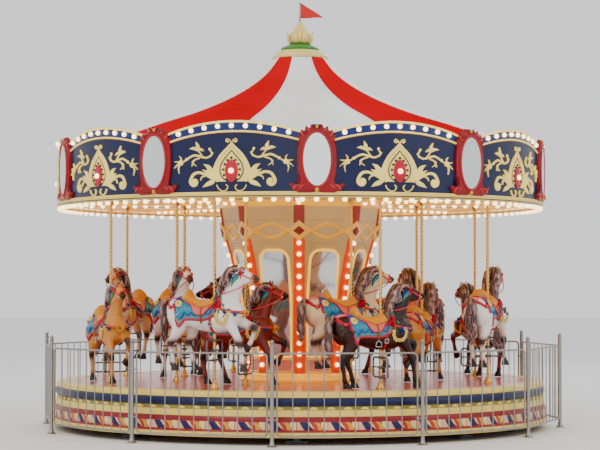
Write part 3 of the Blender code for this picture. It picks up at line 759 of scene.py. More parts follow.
def mirror_width(v):
    """How far the mirror narrows with the casing, as a share of its full width."""
    room = casing_corner(v) * math.sin(HALF_SIDE) - 0.105
    return min(MIRROR_HALF, room) / MIRROR_HALF


def on_mirror(u, v, h):
    return on_face(u * mirror_width(v), v, h)


def mirror_edge(u):
    """The height of the mirror's basket arch."""
    flat = MIRROR_HALF - MIRROR_SHOULDER
    past = min(max(abs(u) - flat, 0), MIRROR_SHOULDER)
    return MIRROR_TOP - MIRROR_SHOULDER + math.sqrt(max(MIRROR_SHOULDER**2 - past**2, 0))


def mirror_outline():
    """The column mirror's two sides and arch, from one foot to the other."""
    side = MIRROR_HALF
    flat = side - MIRROR_SHOULDER
    bend = MIRROR_TOP - MIRROR_SHOULDER
    path = [(-side, v) for v in np.linspace(MIRROR_LOW, bend, 12)]
    for t in np.linspace(0.15, math.pi / 2, 7):
        path.append((-flat - MIRROR_SHOULDER * math.cos(t), bend + MIRROR_SHOULDER * math.sin(t)))
    return path + [(-u, v) for u, v in reversed(path)]


def corner_strip(low, high):
    """A shallow channel up a corner of the casing, which the bulbs sit in."""
    rings = []
    for z in np.linspace(low, high, 16):
        edge = STRIP_HALF
        ring = [on_corner(-edge, z, 0), on_corner(-edge * 0.85, z, 0.02), on_corner(-edge * 0.4, z, 0.014)]
        ring += [on_corner(edge * 0.4, z, 0.014), on_corner(edge * 0.85, z, 0.02), on_corner(edge, z, 0)]
        ring.append(on_corner(0, z, -0.03))
        rings.append(ring)
    return skin(rings)


def make_column():
    heights = np.linspace(CASING[1][1], CEILING, 26)
    outer = [(CASING[0][0], DECK_TOP + 0.0005)] + [(casing_corner(z), float(z)) for z in heights]
    inner = [(radius - 0.03, z) for radius, z in reversed(outer)]
    build = Build()
    build.add(ring_lathe(outer + inner, SIDES), 0, linear(216, 190, 126))
    brow = [(u, mirror_edge(u) + 0.075) for u in np.linspace(-0.27, 0.27, 15)]
    repeat(build, stroke(brow, 0.016, on_face, 0.008), SIDES, 0, linear(214, 186, 132), HALF_SIDE)
    for sign in (-1, 1):
        loop = []
        for t in np.linspace(-1, 1, 19):
            loop.append((0.23 * t, DIAMOND_HEIGHT + sign * 0.082 * math.cos(math.pi * t * 0.56)))
        repeat(build, stroke(loop, 0.042, on_face, 0.016), SIDES, 1, turn=HALF_SIDE)
        rail = [(u, DIAMOND_HEIGHT + sign * 0.135) for u in np.linspace(-0.24, 0.24, 5)]
        repeat(build, stroke(rail, 0.012, on_face, 0.007), SIDES, 0, linear(222, 190, 120), HALF_SIDE)
        for half, tall, height, slot, paint in (
            (0.15, 0.124, 0.03, 1, GOLD),
            (0.07, 0.056, 0.036, 0, linear(140, 40, 20)),
        ):
            wing = [(0, DIAMOND_HEIGHT - tall), (sign * half, DIAMOND_HEIGHT), (0, DIAMOND_HEIGHT + tall)]
            repeat(build, blob(wing, on_corner, height, 0.0), SIDES, slot, paint)
    add_lower_panels(build)
    add_piece(
        "column_casing_sides", build.mesh("column_casing_looks"), "turntable", [GLOSS, GILT_PAINTED_GLOW],
        ["column_casing"],
    )
    make_column_lights()
    make_column_mirrors()


def add_lower_panels(build):
    """The framed pink panel at the foot of each side."""
    low = 0.69
    high = 0.835
    half = 0.15
    frame_line = [(-half, low), (half, low), (half, high), (-half, high), (-half, low)]
    panel = patch(np.linspace(-half, half, 5), lambda u: low, lambda u: high, on_face, -0.004, 0.005, 6)
    repeat(build, panel, SIDES, 0, linear(226, 140, 128), HALF_SIDE)
    for pair in zip(frame_line, frame_line[1:]):
        repeat(build, stroke(pair, 0.02, on_face, 0.014, 6), SIDES, 1, turn=HALF_SIDE)


def make_column_lights():
    """The red strips and bulbs down the corners, and the gilt mouldings round the foot and top. The lower
    strips and the mouldings glow as painted light from the bulbs.
    """
    build = Build()
    low = corner_strip(0.662, DIAMOND_HEIGHT - 0.09)
    high = corner_strip(DIAMOND_HEIGHT + 0.09, CEILING - 0.005)
    # The upper strips, which carry no bulbs, keep the plain darker red. The lower ones take the brighter,
    # glowing strip paint as painted light.
    repeat(build, low, SIDES, 0)
    repeat(build, high, SIDES, 2, linear(160, 44, 30))
    foot = [
        (0.58, DECK_TOP), (0.735, DECK_TOP), (0.748, 0.588), (0.742, 0.606), (0.716, 0.614), (0.724, 0.63)
    ]
    foot += [(0.72, 0.648), (0.7, 0.66), (0.68, 0.668), (0.6, 0.672)]
    build.add(ring_lathe(foot, 96), 1)
    top = [
        (0.93, CEILING - 0.001), (0.95, CEILING - 0.07), (1.03, CEILING - 0.055), (1.06, CEILING - 0.03),
        (1.09, CEILING - 0.001),
    ]
    build.add(ring_lathe(top, 96), 1)
    add_piece(
        "column_mouldings", build.mesh("column_moulding_looks"), "turntable", [STRIP_LIT, GOLD_LIT, GLOSS],
    )
    bulbs = Build()
    for z in np.arange(0.77, DIAMOND_HEIGHT - 0.14, BULB_PITCH):
        repeat(bulbs, ball((0, -(casing_corner(z) + 0.024), float(z)), 0.029, 12), SIDES)
    add_piece("column_bulbs", bulbs.mesh("column_bulb_looks"), "turntable", [BULB])


def make_column_mirrors():
    build = Build()
    across = np.linspace(-MIRROR_HALF, MIRROR_HALF, 17)
    glass = patch(across, lambda u: MIRROR_LOW, mirror_edge, on_mirror, 0.001, 0.006, 16)
    trim = stroke(mirror_outline(), 0.034, on_mirror, 0.024)
    sill = stroke(
        [(u, MIRROR_LOW) for u in np.linspace(-MIRROR_HALF, MIRROR_HALF, 5)], 0.03, on_mirror, 0.022
    )
    repeat(build, glass, SIDES, 0, turn=HALF_SIDE)
    repeat(build, trim, SIDES, 1, turn=HALF_SIDE)
    repeat(build, sill, SIDES, 1, turn=HALF_SIDE)
    add_piece(
        "column_mirrors", build.mesh("column_mirror_looks"), "turntable", [MIRROR, TRIM_LIT]
    )


def make_ceiling():
    """Under the canopy: red strips of bulbs from the column to the rim, a gilt rim band and panel seams.
    The strips glow orange and the rails and rim band glow gold as painted light from the bulbs.
    """
    def under(u, v, h):
        return (u, -v, CEILING - h)

    build = Build()
    bulbs = Build()
    strip = patch([-0.062, 0.062], lambda u: 1.04, lambda u: 2.8, under, 0, 0.018, 10)
    repeat(build, strip, SIDES, 0)
    for side in (-0.07, 0.07):
        repeat(build, stroke([(side, 1.04), (side, 1.9), (side, 2.8)], 0.022, under, 0.026), SIDES, 1)
    for v in np.arange(1.12, 2.78, BULB_PITCH):
        repeat(bulbs, ball((0, -float(v), CEILING - 0.032), 0.03, 12), SIDES)
    seam = stroke([(0, 1.08), (0, 1.9), (0, 2.72)], 0.03, under, 0.008)
    for share in (0.65, 1.35):
        repeat(build, seam, SIDES, 2, linear(196, 150, 84), HALF_SIDE * share)
    rim = [
        (2.78, CEILING - 0.001), (2.8, CEILING - 0.03), (2.86, CEILING - 0.036), (2.93, CEILING - 0.05),
        (2.93, CEILING - 0.001),
    ]
    build.add(ring_lathe(rim, FINE_STEPS), 1)
    add_piece(
        "ceiling_strips", build.mesh("ceiling_strip_looks"), "turntable", [STRIP_LIT, GOLD_LIT, GLOSS],
    )
    add_piece("ceiling_bulbs", bulbs.mesh("ceiling_bulb_looks"), "turntable", [BULB])


# Crown

FIELD_RADIUS = CROWN_RADIUS - 0.015
HALF_PANEL = CROWN_RADIUS * PANEL_PITCH / 2
on_field = on_cylinder(FIELD_RADIUS)
JEWEL_HEIGHT = 2.986
MEDALLION_HEIGHT = 3.105
BOARD_FOOT = 2.745
RIM_BULBS = 120
BAND_HIGH = 3.42
BAND_LOW = 3.26


def arch(s, centre, end):
    """The height of one of a crown panel's arched lines."""
    return end + (centre - end) * (1 - (s / HALF_PANEL) ** 2)


def board_top(s):
    return arch(s, BOARD_HIGH_TOP, BOARD_LOW_TOP)


def band_foot(s):
    """The lower edge of the arched band that the bulbs sit in."""
    return arch(s, BAND_HIGH, BAND_LOW)


def both_sides(path):
    """A path and its mirror image about the panel's middle line."""
    return path, [(-s, z) for s, z in path]


def oval(middle, half_width, half_height, count):
    """An upright oval's outline about a middle height."""
    turns = np.linspace(0, 2 * math.pi, count + 1)[:-1]
    return [(half_width * math.sin(t), middle + half_height * math.cos(t)) for t in turns]


def crown_scrolls():
    """The raised lines of half a panel, each as (path, widths)."""
    volute = spiral((0.436, 2.872), 0.052, 0.012, 0.12, -1.0, 12)
    return (
        (
            [(0.2, 2.872), (0.232, 2.905), (0.28, 2.935), (0.37, 2.972), (0.44, 2.958), *volute],
            [0.022, 0.034, 0.04, 0.03, 0.024],
        ),
        (
            [(0.205, 2.865), (0.215, 2.94), (0.25, 3.0), (0.275, 3.035), (0.322, 3.062)],
            [0.03, 0.066, 0.066, 0.046, 0.006],
        ),
        ([(0.212, 2.92), (0.27, 2.965), (0.335, 3.002)], [0.04, 0.05, 0.006]),
        ([(0.2, 2.872), (0.235, 2.86), (0.28, 2.842), (0.33, 2.812)], [0.03, 0.056, 0.048, 0.006]),
        ([(0.3, 2.94), (0.345, 2.92), (0.36, 2.885)], [0.02, 0.018, 0.006]),
        (
            [(0.168, 2.832), (0.15, 2.795), (0.105, 2.766), (0.06, 2.776), (0.042, 2.812), (0.062, 2.836)],
            0.012,
        ),
        ([(0.0, 3.282), (0.018, 3.318), (0.05, 3.337), (0.062, 3.312), (0.042, 3.3)], 0.012),
        (
            [
                (0.214, 3.19), (0.238, 3.158), (0.286, 3.134), (0.33, 3.138), (0.426, 3.163),
                (0.484, 3.146), (0.53, 3.12),
            ],
            [0.018, 0.022, 0.026, 0.022],
        ),
        ([(0.25, 3.225), (0.226, 3.174), (0.25, 3.142)], 0.018),
        ([(0.33, 3.138), (0.362, 3.18), (0.394, 3.218)], 0.016),
        ([(0.394, 3.218), (0.396, 3.262), (0.416, 3.31)], [0.03, 0.046, 0.008]),
        ([(0.394, 3.218), (0.356, 3.226), (0.322, 3.208)], [0.028, 0.036, 0.008]),
        ([(0.394, 3.218), (0.446, 3.24), (0.492, 3.236)], [0.028, 0.038, 0.008]),
        (
            [(0.37, 3.132), (0.42, 3.118), (0.458, 3.09), (0.436, 3.06), (0.408, 3.044)],
            [0.018, 0.018, 0.008],
        ),
        ([(0.44, 3.104), (0.458, 3.07), (0.464, 3.042)], [0.016, 0.008]),
        ([(0.53, 3.12), (0.566, 3.098), (0.603, 3.082)], 0.018),
        ([(0.603, 3.082), (0.648, 3.096), (0.686, 3.1)], [0.024, 0.018, 0.006]),
        ([(0.603, 3.082), (0.65, 3.06), (0.686, 3.027)], [0.024, 0.018, 0.006]),
        ([(0.603, 3.082), (0.632, 3.03), (0.622, 2.966)], [0.024, 0.02, 0.006]),
        ([(0.603, 3.082), (0.6, 3.13), (0.622, 3.16)], [0.022, 0.016, 0.006]),
    )


def ogee(top, widest, widest_height, foot, foot_height):
    """Half of an onion-shaped arch from its tip down to its foot."""
    return resample(
        [
            (0.0, top),
            (widest * 0.2, top - 0.045),
            (widest * 0.62, top - 0.13),
            (widest * 0.94, widest_height + 0.075),
            (widest, widest_height),
            (widest * 0.93, widest_height - 0.055),
            (foot, foot_height),
        ],
        22,
    )


def crown_panel():
    """One of the ten crown panels, with its centre facing -Y: (shell, slot, paint)."""
    columns = np.linspace(-HALF_PANEL, HALF_PANEL, 33)
    cream = linear(252, 222, 112)
    khaki = linear(240, 214, 116)
    # Parts in slot 2 take the cream trim paint that glows: painted light from the crown bulbs.
    parts = [
        (
            patch(columns, lambda s: BOARD_FOOT, lambda s: board_top(s) - 0.004, on_field, -0.04, 0.0, 6),
            0,
            linear(12, 22, 66),
        ),
        (
            patch(columns, band_foot, lambda s: board_top(s) - 0.01, on_field, -0.01, 0.004, 3),
            0,
            linear(16, 36, 104),
        ),
        (stroke([(s, board_top(s) - 0.0125) for s in columns], 0.027, on_field, 0.02), 2, cream),
        (stroke([(s, band_foot(s)) for s in columns], 0.023, on_field, 0.017), 2, cream),
        (
            stroke([(s, band_foot(s) - 0.018) for s in columns], 0.006, on_field, 0.006),
            0,
            linear(120, 30, 40),
        ),
        (stroke([(s, BOARD_FOOT + 0.007) for s in columns], 0.012, on_field, 0.012), 2, cream),
    ]
    for side in both_sides(ogee(3.285, 0.198, 2.966, 0.16, 2.868)):
        parts.append((stroke(side, [0.026, 0.034, 0.036, 0.034, 0.026], on_field, 0.02, 22), 2, khaki))
    teardrop = [
        (0, 3.21), (0.03, 3.176), (0.07, 3.13), (0.114, 3.07), (0.132, 3.0), (0.12, 2.94), (0.071, 2.885),
        (0, 2.868),
    ]
    for side in both_sides(teardrop):
        parts.append((stroke(side, 0.016, on_field, 0.011, 24), 0, linear(20, 26, 62)))
    backing = ogee(3.26, 0.19, 2.966, 0.15, 2.87)
    shield = [(-s, z) for s, z in reversed(backing[1:])] + list(backing)
    parts.append((blob(shield, on_field, 0.007, 0.2), 2, linear(238, 210, 112)))
    for path, widths in crown_scrolls():
        for side in both_sides(path):
            parts.append((stroke(side, widths, on_field, 0.022, 3 * len(path)), 2, khaki))
    for s, z, radius in (
        (0.436, 2.872, 0.024), (0.251, 3.228, 0.016), (0.53, 3.121, 0.018), (0.603, 3.082, 0.032),
        (0.042, 3.306, 0.014),
    ):
        for sign in (-1, 1):
            parts.append((ball(on_field(sign * s, z, 0.008), radius, 10), 2, cream))
    jewel = oval(JEWEL_HEIGHT, 0.072, 0.125, 24)
    parts.append((blob(jewel, on_field, 0.02, 1.6), 0, ROSE_RED))
    beads = ((0, 3.13), (0.045, 3.103), (0.078, 3.058), (0.094, 3.0), (0.086, 2.94), (0.056, 2.893))
    for s, z in beads:
        for sign in (-1, 1):
            parts.append((ball(on_field(sign * s, z, 0.008), 0.016, 8), 0, linear(60, 26, 44)))
    return parts


def medallion():
    """The red mirror frame that covers the joint of two crown panels: (shell, slot, paint)."""
    def place(u, v, h):
        return (u, -(CROWN_RADIUS - 0.03 + h), v)

    half = [
        (0.0, 2.755), (0.06, 2.742), (0.19, 2.742), (0.25, 2.764), (0.304, 2.83), (0.262, 2.812),
        (0.216, 2.818),
    ]
    half += [
        (0.19, 2.845), (0.192, 2.89), (0.208, 2.96), (0.216, 3.09), (0.211, 3.22), (0.196, 3.32),
        (0.212, 3.37),
    ]
    half += [
        (0.176, 3.366), (0.174, 3.43), (0.132, 3.414), (0.122, 3.472), (0.078, 3.443), (0.06, 3.49),
        (0.026, 3.455),
    ]
    half += [(0.0, 3.49)]
    outline = half + [(-u, v) for u, v in reversed(half[1:-1])]
    glass = oval(MEDALLION_HEIGHT, 0.153, 0.295, 32)
    rim = [
        place(u * 1.06, MEDALLION_HEIGHT + (v - MEDALLION_HEIGHT) * 1.03, 0.052)
        for u, v in glass
    ]
    parts = [
        (blob(outline, place, 0.05, 0.5), 0, linear(144, 6, 18)),
        (blob(glass, place, 0.058, 0.2), 1, (1, 1, 1)),
        (tube(rim, 0.013, 8, closed=True), 0, linear(170, 20, 30)),
    ]
    for u, v, bend in ((0.26, 2.775, -0.06), (0.19, 2.79, -0.04), (0.176, 3.4, 0.05), (0.1, 3.44, 0.03)):
        for side in both_sides([(u, v), (u * 0.9, v - bend * 0.6), (u * 0.7, v - bend)]):
            parts.append(
                (stroke(side, [0.014, 0.02, 0.006], lifted(place, 0.048), 0.012, 8), 0, linear(204, 60, 52))
            )
    parts.append((ball(place(0, 3.46, 0.05), 0.02, 10), 0, GOLD))
    parts.append((ball(place(0, 2.775, 0.052), 0.024, 10), 0, GOLD))
    return parts


def make_crown():
    build = Build()
    for shell, slot, paint in crown_panel():
        repeat(build, shell, CROWN_PANELS, slot, paint, CROWN_TURN + PANEL_PITCH / 2)
    for shell, slot, paint in medallion():
        repeat(build, shell, CROWN_PANELS, slot, paint, CROWN_TURN)
    rims = (
        (CREAM, [(2.9405, 2.746), (3.002, 2.746), (3.006, 2.73), (3.002, 2.716), (2.9405, 2.716)]),
        (linear(50, 34, 48), [(2.9405, 2.716), (2.994, 2.716), (2.994, 2.706), (2.9405, 2.706)]),
        (
            linear(206, 176, 104),
            [(2.9405, 2.706), (3.0, 2.706), (2.996, 2.692), (2.97, 2.684), (2.9405, 2.688)],
        ),
    )
    for paint, section in rims:
        build.add(ring_lathe(section, FINE_STEPS), 0, paint)
    add_piece(
        "crown_boards", build.mesh("crown_board_looks"), "turntable", [GLOSS, MIRROR, CREAM_LIT],
        ["rounding_boards"],
    )
    make_crown_bulbs()


def make_crown_bulbs():
    build = Build()
    middle = CROWN_TURN + PANEL_PITCH / 2
    for k in range(-4, 5):
        s = k * 0.158
        z = (board_top(s) + band_foot(s)) / 2
        repeat(build, ball(on_field(s, z, 0.014), 0.029, 12), CROWN_PANELS, turn=middle)
    repeat(build, ball(on_field(0, JEWEL_HEIGHT, 0.024), 0.032, 12), CROWN_PANELS, turn=middle)
    rim_bulb = ball((0, -(CROWN_RADIUS - 0.03), RIM_BOTTOM + 0.003), 0.031, 12)
    repeat(build, rim_bulb, RIM_BULBS, turn=math.radians(1.2))
    add_piece("crown_bulbs", build.mesh("crown_bulb_looks"), "turntable", [BULB])


# Canopy and top

CANOPY = ((2.925, 3.36), (2.14, 3.63), (1.6, 3.8), (1.14, 3.98), (0.77, 4.17), (0.51, 4.36), (0.345, 4.55))
CANOPY_SWELL = 0.018


def on_canopy(u, v, h):
    """Maps (bearing, share of the way up, outwards) onto the canopy."""
    radius, z = smooth(range(len(CANOPY)), CANOPY, v * (len(CANOPY) - 1))
    return ((radius + 0.3 * h) * math.sin(u), -(radius + 0.3 * h) * math.cos(u), z + h)


def make_canopy():
    build = Build()
    half = PANEL_PITCH / 2
    columns = np.linspace(-half, half, 13)

    def swell(u, v):
        return CANOPY_SWELL * math.cos(u / half * math.pi / 2) * (1 - v)

    def along_seam(u, v, h):
        return on_canopy(u / (0.4 + 2.6 * (1 - v)), v, h)

    gore = patch(columns, lambda u: 0.0, lambda u: 1.0, on_canopy, -0.02, swell, 22)
    seam = stroke([(0, v) for v in np.linspace(0, 1, 24)], 0.026, along_seam, 0.012)
    for i in range(CROWN_PANELS):
        angle = CROWN_TURN + i * PANEL_PITCH
        build.add(moved(gore, angle), i % 2)
        build.add(moved(seam, angle + half), 0)
    add_piece(
        "canopy_gores", build.mesh("canopy_looks"), "turntable", [CANOPY_WHITE, CANOPY_RED],
        ["canopy"],
    )


def petals(count, rows, steps=64):
    """A leafy turned shape from (radius, height, depth of its lobes) rows."""
    rings = []
    for radius, z, depth in rows:
        ring = []
        for x, y in around(steps):
            lobe = abs(math.cos(count * math.atan2(x, -y) / 2))
            reach = radius * (1 - depth + depth * lobe)
            ring.append((reach * x, reach * y, z))
        rings.append(ring)
    return skin(rings)


FINIAL_LEAVES = 8


def make_top():
    build = Build()
    low = CAP_LOW
    cream = linear(240, 218, 132)
    build.add(
        petals(
            20,
            [
                (0.335, low + 0.0005, 0), (0.348, low + 0.01, 0), (0.35, low + 0.035, 0.02),
                (0.334, low + 0.05, 0.02), (0.322, low + 0.06, 0.0),
            ],
        ),
        0,
        cream,
    )
    build.add(
        petals(
            16,
            [
                (0.3, low + 0.058, 0.0), (0.312, low + 0.075, 0.05), (0.28, low + 0.1, 0.05),
                (0.23, low + 0.112, 0.0),
            ],
        ),
        0,
        cream,
    )
    green = [
        (0.232, low + 0.11, 0), (0.246, low + 0.13, 0.06), (0.222, low + 0.155, 0.08),
        (0.165, low + 0.175, 0.08), (0.12, low + 0.199, 0),
    ]
    build.add(petals(14, green), 0, linear(62, 132, 46))
    add_piece(
        "canopy_cap_leaves", build.mesh("canopy_cap_looks"), "turntable", [GLOSS],
        ["canopy_cap"],
    )

    flame = Build()
    base = CAP_TOP + 0.0005
    bulb = [
        (0.1, 0, 0), (0.135, 0.02, 0.1), (0.15, 0.055, 0.22), (0.145, 0.09, 0.26), (0.12, 0.13, 0.26),
        (0.085, 0.165, 0.22),
    ]
    bulb += [(0.058, 0.2, 0.16), (0.04, 0.235, 0.08), (0.022, 0.268, 0.0), (0.009, 0.282, 0.0)]
    flame.add(
        petals(FINIAL_LEAVES, [(radius, base + z, depth) for radius, z, depth in bulb]),
        0,
        linear(232, 206, 112),
    )
    leaf = [
        (0, -0.128, base + 0.012), (0, -0.163, base + 0.06), (0, -0.158, base + 0.11),
        (0, -0.178, base + 0.15),
    ]
    leaf = tube(
        resample(leaf, 9), [0.03, 0.034, 0.034, 0.031, 0.027, 0.022, 0.016, 0.01, 0.003], 8, flat=0.4
    )
    repeat(flame, leaf, FINIAL_LEAVES, 0, linear(240, 218, 130), math.pi / FINIAL_LEAVES)
    for z, radius in ((0.3, 0.016), (0.34, 0.012), (0.505, 0.011)):
        flame.add(ball((0, 0, base + z), radius, 12), 1)
    flame.add(solid_lathe([(0.008, base + 0.25), (0.008, STAFF_TOP - 0.003), (0.004, STAFF_TOP)], 16), 1)
    add_piece(
        "finial_flame", flame.mesh("finial_looks"), "turntable", [GLOSS, STAINLESS],
        ["finial"],
    )


PENNANT_TIP_LOW = 0.012
PENNANT_TIP_HIGH = 0.0145


def make_pennant():
    low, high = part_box("pennant")
    length = high[0] - low[0]
    height = high[2] - low[2]

    def place(u, v, h):
        wave = 0.012 * math.sin(2 * math.pi * 1.2 * u / length) * min(1, 3 * u / length)
        return (low[0] + u, wave + h, low[2] + v)

    def lower(u):
        return PENNANT_TIP_LOW * u / length

    def upper(u):
        return height - (height - PENNANT_TIP_HIGH) * u / length

    cloth = patch(np.linspace(0, length, 25), lower, upper, place, -0.0006, 0.0006, 8)
    build = Build().add(cloth)
    piece = add_piece(
        "pennant_cloth", build.mesh("pennant_looks"), "turntable", [CLOTH_RED], ["pennant"]
    )


# Horses: each faces +X with its hooves at height 0 and its pole on the Z axis. -Y is its right side.

HORSE_VOXEL = 0.0085
OUTER_COATS = ("black", "white", "chestnut", "cream", "black", "cream", "palomino", "white")
INNER_COATS = ("cream", "palomino", "white", "chestnut", "palomino", "cream", "white", "chestnut")
TORSO = (
    (-0.585, 0.68, 0.04, 0.03),
    (-0.56, 0.675, 0.095, 0.085),
    (-0.5, 0.675, 0.137, 0.125),
    (-0.42, 0.668, 0.15, 0.145),
    (-0.3, 0.638, 0.152, 0.15),
    (-0.15, 0.602, 0.158, 0.15),
    (0.0, 0.592, 0.166, 0.152),
    (0.12, 0.606, 0.176, 0.148),
    (0.22, 0.63, 0.172, 0.128),
    (0.3, 0.65, 0.13, 0.1),
    (0.35, 0.66, 0.06, 0.05),
)
NECK = (
    (0.13, 0.7, 0.15, 0.105), (0.205, 0.83, 0.128, 0.084), (0.255, 0.94, 0.104, 0.066),
    (0.295, 1.03, 0.084, 0.056), (0.325, 1.09, 0.066, 0.052),
)
HEAD = (
    (0.285, 1.1, 0.045, 0.045),
    (0.315, 1.092, 0.066, 0.054),
    (0.355, 1.078, 0.071, 0.054),
    (0.4, 1.064, 0.058, 0.046),
    (0.445, 1.05, 0.046, 0.036),
    (0.49, 1.034, 0.039, 0.032),
    (0.52, 1.024, 0.037, 0.031),
    (0.542, 1.018, 0.02, 0.018),
)
RAISED_HOOF_TURN = math.radians(62)
HOOVES = (
    (-0.455, -0.09, 0.0, 0.0),
    (-0.285, 0.09, 0.0, 0.0),
    (0.4, -0.09, 0.0, 0.0),
    (0.34, 0.09, 0.252, RAISED_HOOF_TURN),
)
LEGS = (
    (
        (-0.43, -0.08, 0.62, 0.115), (-0.4, -0.092, 0.5, 0.088), (-0.455, -0.094, 0.385, 0.056),
        (-0.51, -0.09, 0.305, 0.039), (-0.487, -0.09, 0.18, 0.025), (-0.477, -0.09, 0.095, 0.03),
        (-0.46, -0.09, 0.05, 0.028),
    ),
    (
        (-0.4, 0.08, 0.62, 0.112), (-0.33, 0.092, 0.5, 0.086), (-0.335, 0.094, 0.395, 0.056),
        (-0.375, 0.09, 0.31, 0.039), (-0.33, 0.09, 0.18, 0.025), (-0.307, 0.09, 0.095, 0.03),
        (-0.29, 0.09, 0.05, 0.028),
    ),
    (
        (0.2, -0.08, 0.62, 0.1), (0.24, -0.09, 0.52, 0.07), (0.3, -0.09, 0.42, 0.047),
        (0.35, -0.09, 0.31, 0.038), (0.37, -0.09, 0.19, 0.024), (0.383, -0.09, 0.095, 0.029),
        (0.396, -0.09, 0.05, 0.027),
    ),
    (
        (0.2, 0.08, 0.64, 0.1), (0.28, 0.09, 0.56, 0.07), (0.37, 0.09, 0.515, 0.05),
        (0.455, 0.09, 0.485, 0.04), (0.43, 0.09, 0.385, 0.024), (0.4, 0.09, 0.315, 0.029),
        (0.378, 0.09, 0.285, 0.027),
    ),
)


def loft(stations, tilt=0.0, steps=22):
    """A body through (x, z, half height, half width) stations, each leaning by tilt in radians."""
    rings = []
    for x, z, tall, wide in stations:
        ring = []
        for side, up in around(steps):
            ring.append((x + tall * up * math.sin(tilt), wide * side, z + tall * up * math.cos(tilt)))
        rings.append(ring)
    return skin(rings)


def finer(stations, count):
    return [tuple(station) for station in resample(stations, count)]


def leg(joints):
    smoothed = resample(joints, 24)
    return tube([joint[:3] for joint in smoothed], [float(joint[3]) for joint in smoothed], 14)


def remeshed(shells):
    """Shells joined into one even, smoothed skin, as a shell."""
    build = Build()
    for shell in shells:
        build.add(shell)
    rough = bpy.data.objects.new("rough", build.mesh("rough"))
    bpy.context.scene.collection.objects.link(rough)
    join = rough.modifiers.new("join", "REMESH")
    join.mode = "VOXEL"
    join.voxel_size = HORSE_VOXEL
    soften = rough.modifiers.new("soften", "SMOOTH")
    soften.factor = 0.6
    soften.iterations = 7
    made = rough.evaluated_get(bpy.context.evaluated_depsgraph_get()).to_mesh()
    points = [tuple(vertex.co) for vertex in made.vertices]
    faces = [tuple(polygon.vertices) for polygon in made.polygons]
    bpy.data.objects.remove(rough)
    return points, faces


def horse_skin():
    shells = [loft(finer(TORSO, 26)), loft(finer(NECK, 14), tilt=-0.75), loft(finer(HEAD, 18), tilt=0.28)]
    shells += [leg(joints) for joints in LEGS]
    for side in (-1, 1):
        shells.append(ball((-0.43, side * 0.062, 0.625), 0.14, 18, (0.95, 0.66, 1.12)))
        shells.append(ball((0.2, side * 0.058, 0.645), 0.13, 18, (0.85, 0.62, 1.15)))
        shells.append(ball((0.318, side * 0.04, 0.665), 0.062, 14))
        shells.append(ball((0.335, side * 0.026, 1.058), 0.044, 14, (1.0, 0.7, 1.0)))
        shells.append(ball((0.525, side * 0.018, 1.034), 0.02, 12))
        shells.append(ball((0.372, side * 0.036, 1.1), 0.02, 12, (1.5, 0.8, 0.8)))
    shells.append(tube([(0.36, 0, 1.0), (0.43, 0, 1.0), (0.508, 0, 0.998)], [0.034, 0.026, 0.018], 12))
    return remeshed(shells)


LEG_TOP = 0.56
KNEE_HEIGHT = 0.3
HOOF_LINE = 0.07
MUZZLE_START = 0.45


def coat_marks_and_belly_shade(point):
    """How much the sprayed coat darkens at a point: painted knees, hocks, fetlocks and muzzle, and a light
    painted shade under the belly and between the legs.
    """
    low = point.z
    if point.x > 0.33 and point.y > 0.03 and point.z < LEG_TOP:
        low = 0.31 - math.hypot(point.x - 0.455, point.z - 0.485)
    if point.x < -0.25 and point.y > 0.0:
        low -= 0.01
    dark = 0.0
    if point.z < LEG_TOP:
        knee = 1.1 * math.exp(-(((low - KNEE_HEIGHT) / 0.05) ** 2))
        dark = knee + 0.9 * math.exp(-((max(low - HOOF_LINE, 0) / 0.03) ** 2))
    if point.x > MUZZLE_START:
        dark = max(dark, 0.94 * min((point.x - MUZZLE_START) / 0.05, 1))
    # Painted shade: the belly's underside and the insides of the legs are darkened a little, where shade
    # falls.
    if 0.38 < point.z < 0.5 and abs(point.y) < 0.07:
        dark = max(dark, 0.14)
    shade = 1 - min(dark, 0.95)
    return (shade, shade * (0.5 + 0.5 * shade), shade * (0.42 + 0.58 * shade))


def hoof(x, y, z, turn):
    """A hoof with a sloping front wall, turned about Y when the foot is raised."""
    profile = [(0.046, 0.0), (0.044, 0.012), (0.036, 0.045), (0.032, 0.058), (0.02, 0.064)]
    points, faces = solid_lathe(profile, 20)
    turned = []
    for px, py, pz in points:
        px = px * 1.12 + 0.012 - 0.25 * pz
        turned.append(
            (
                x + px * math.cos(turn) + pz * math.sin(turn),
                y + py,
                z - px * math.sin(turn) + pz * math.cos(turn),
            )
        )
    return turned, faces


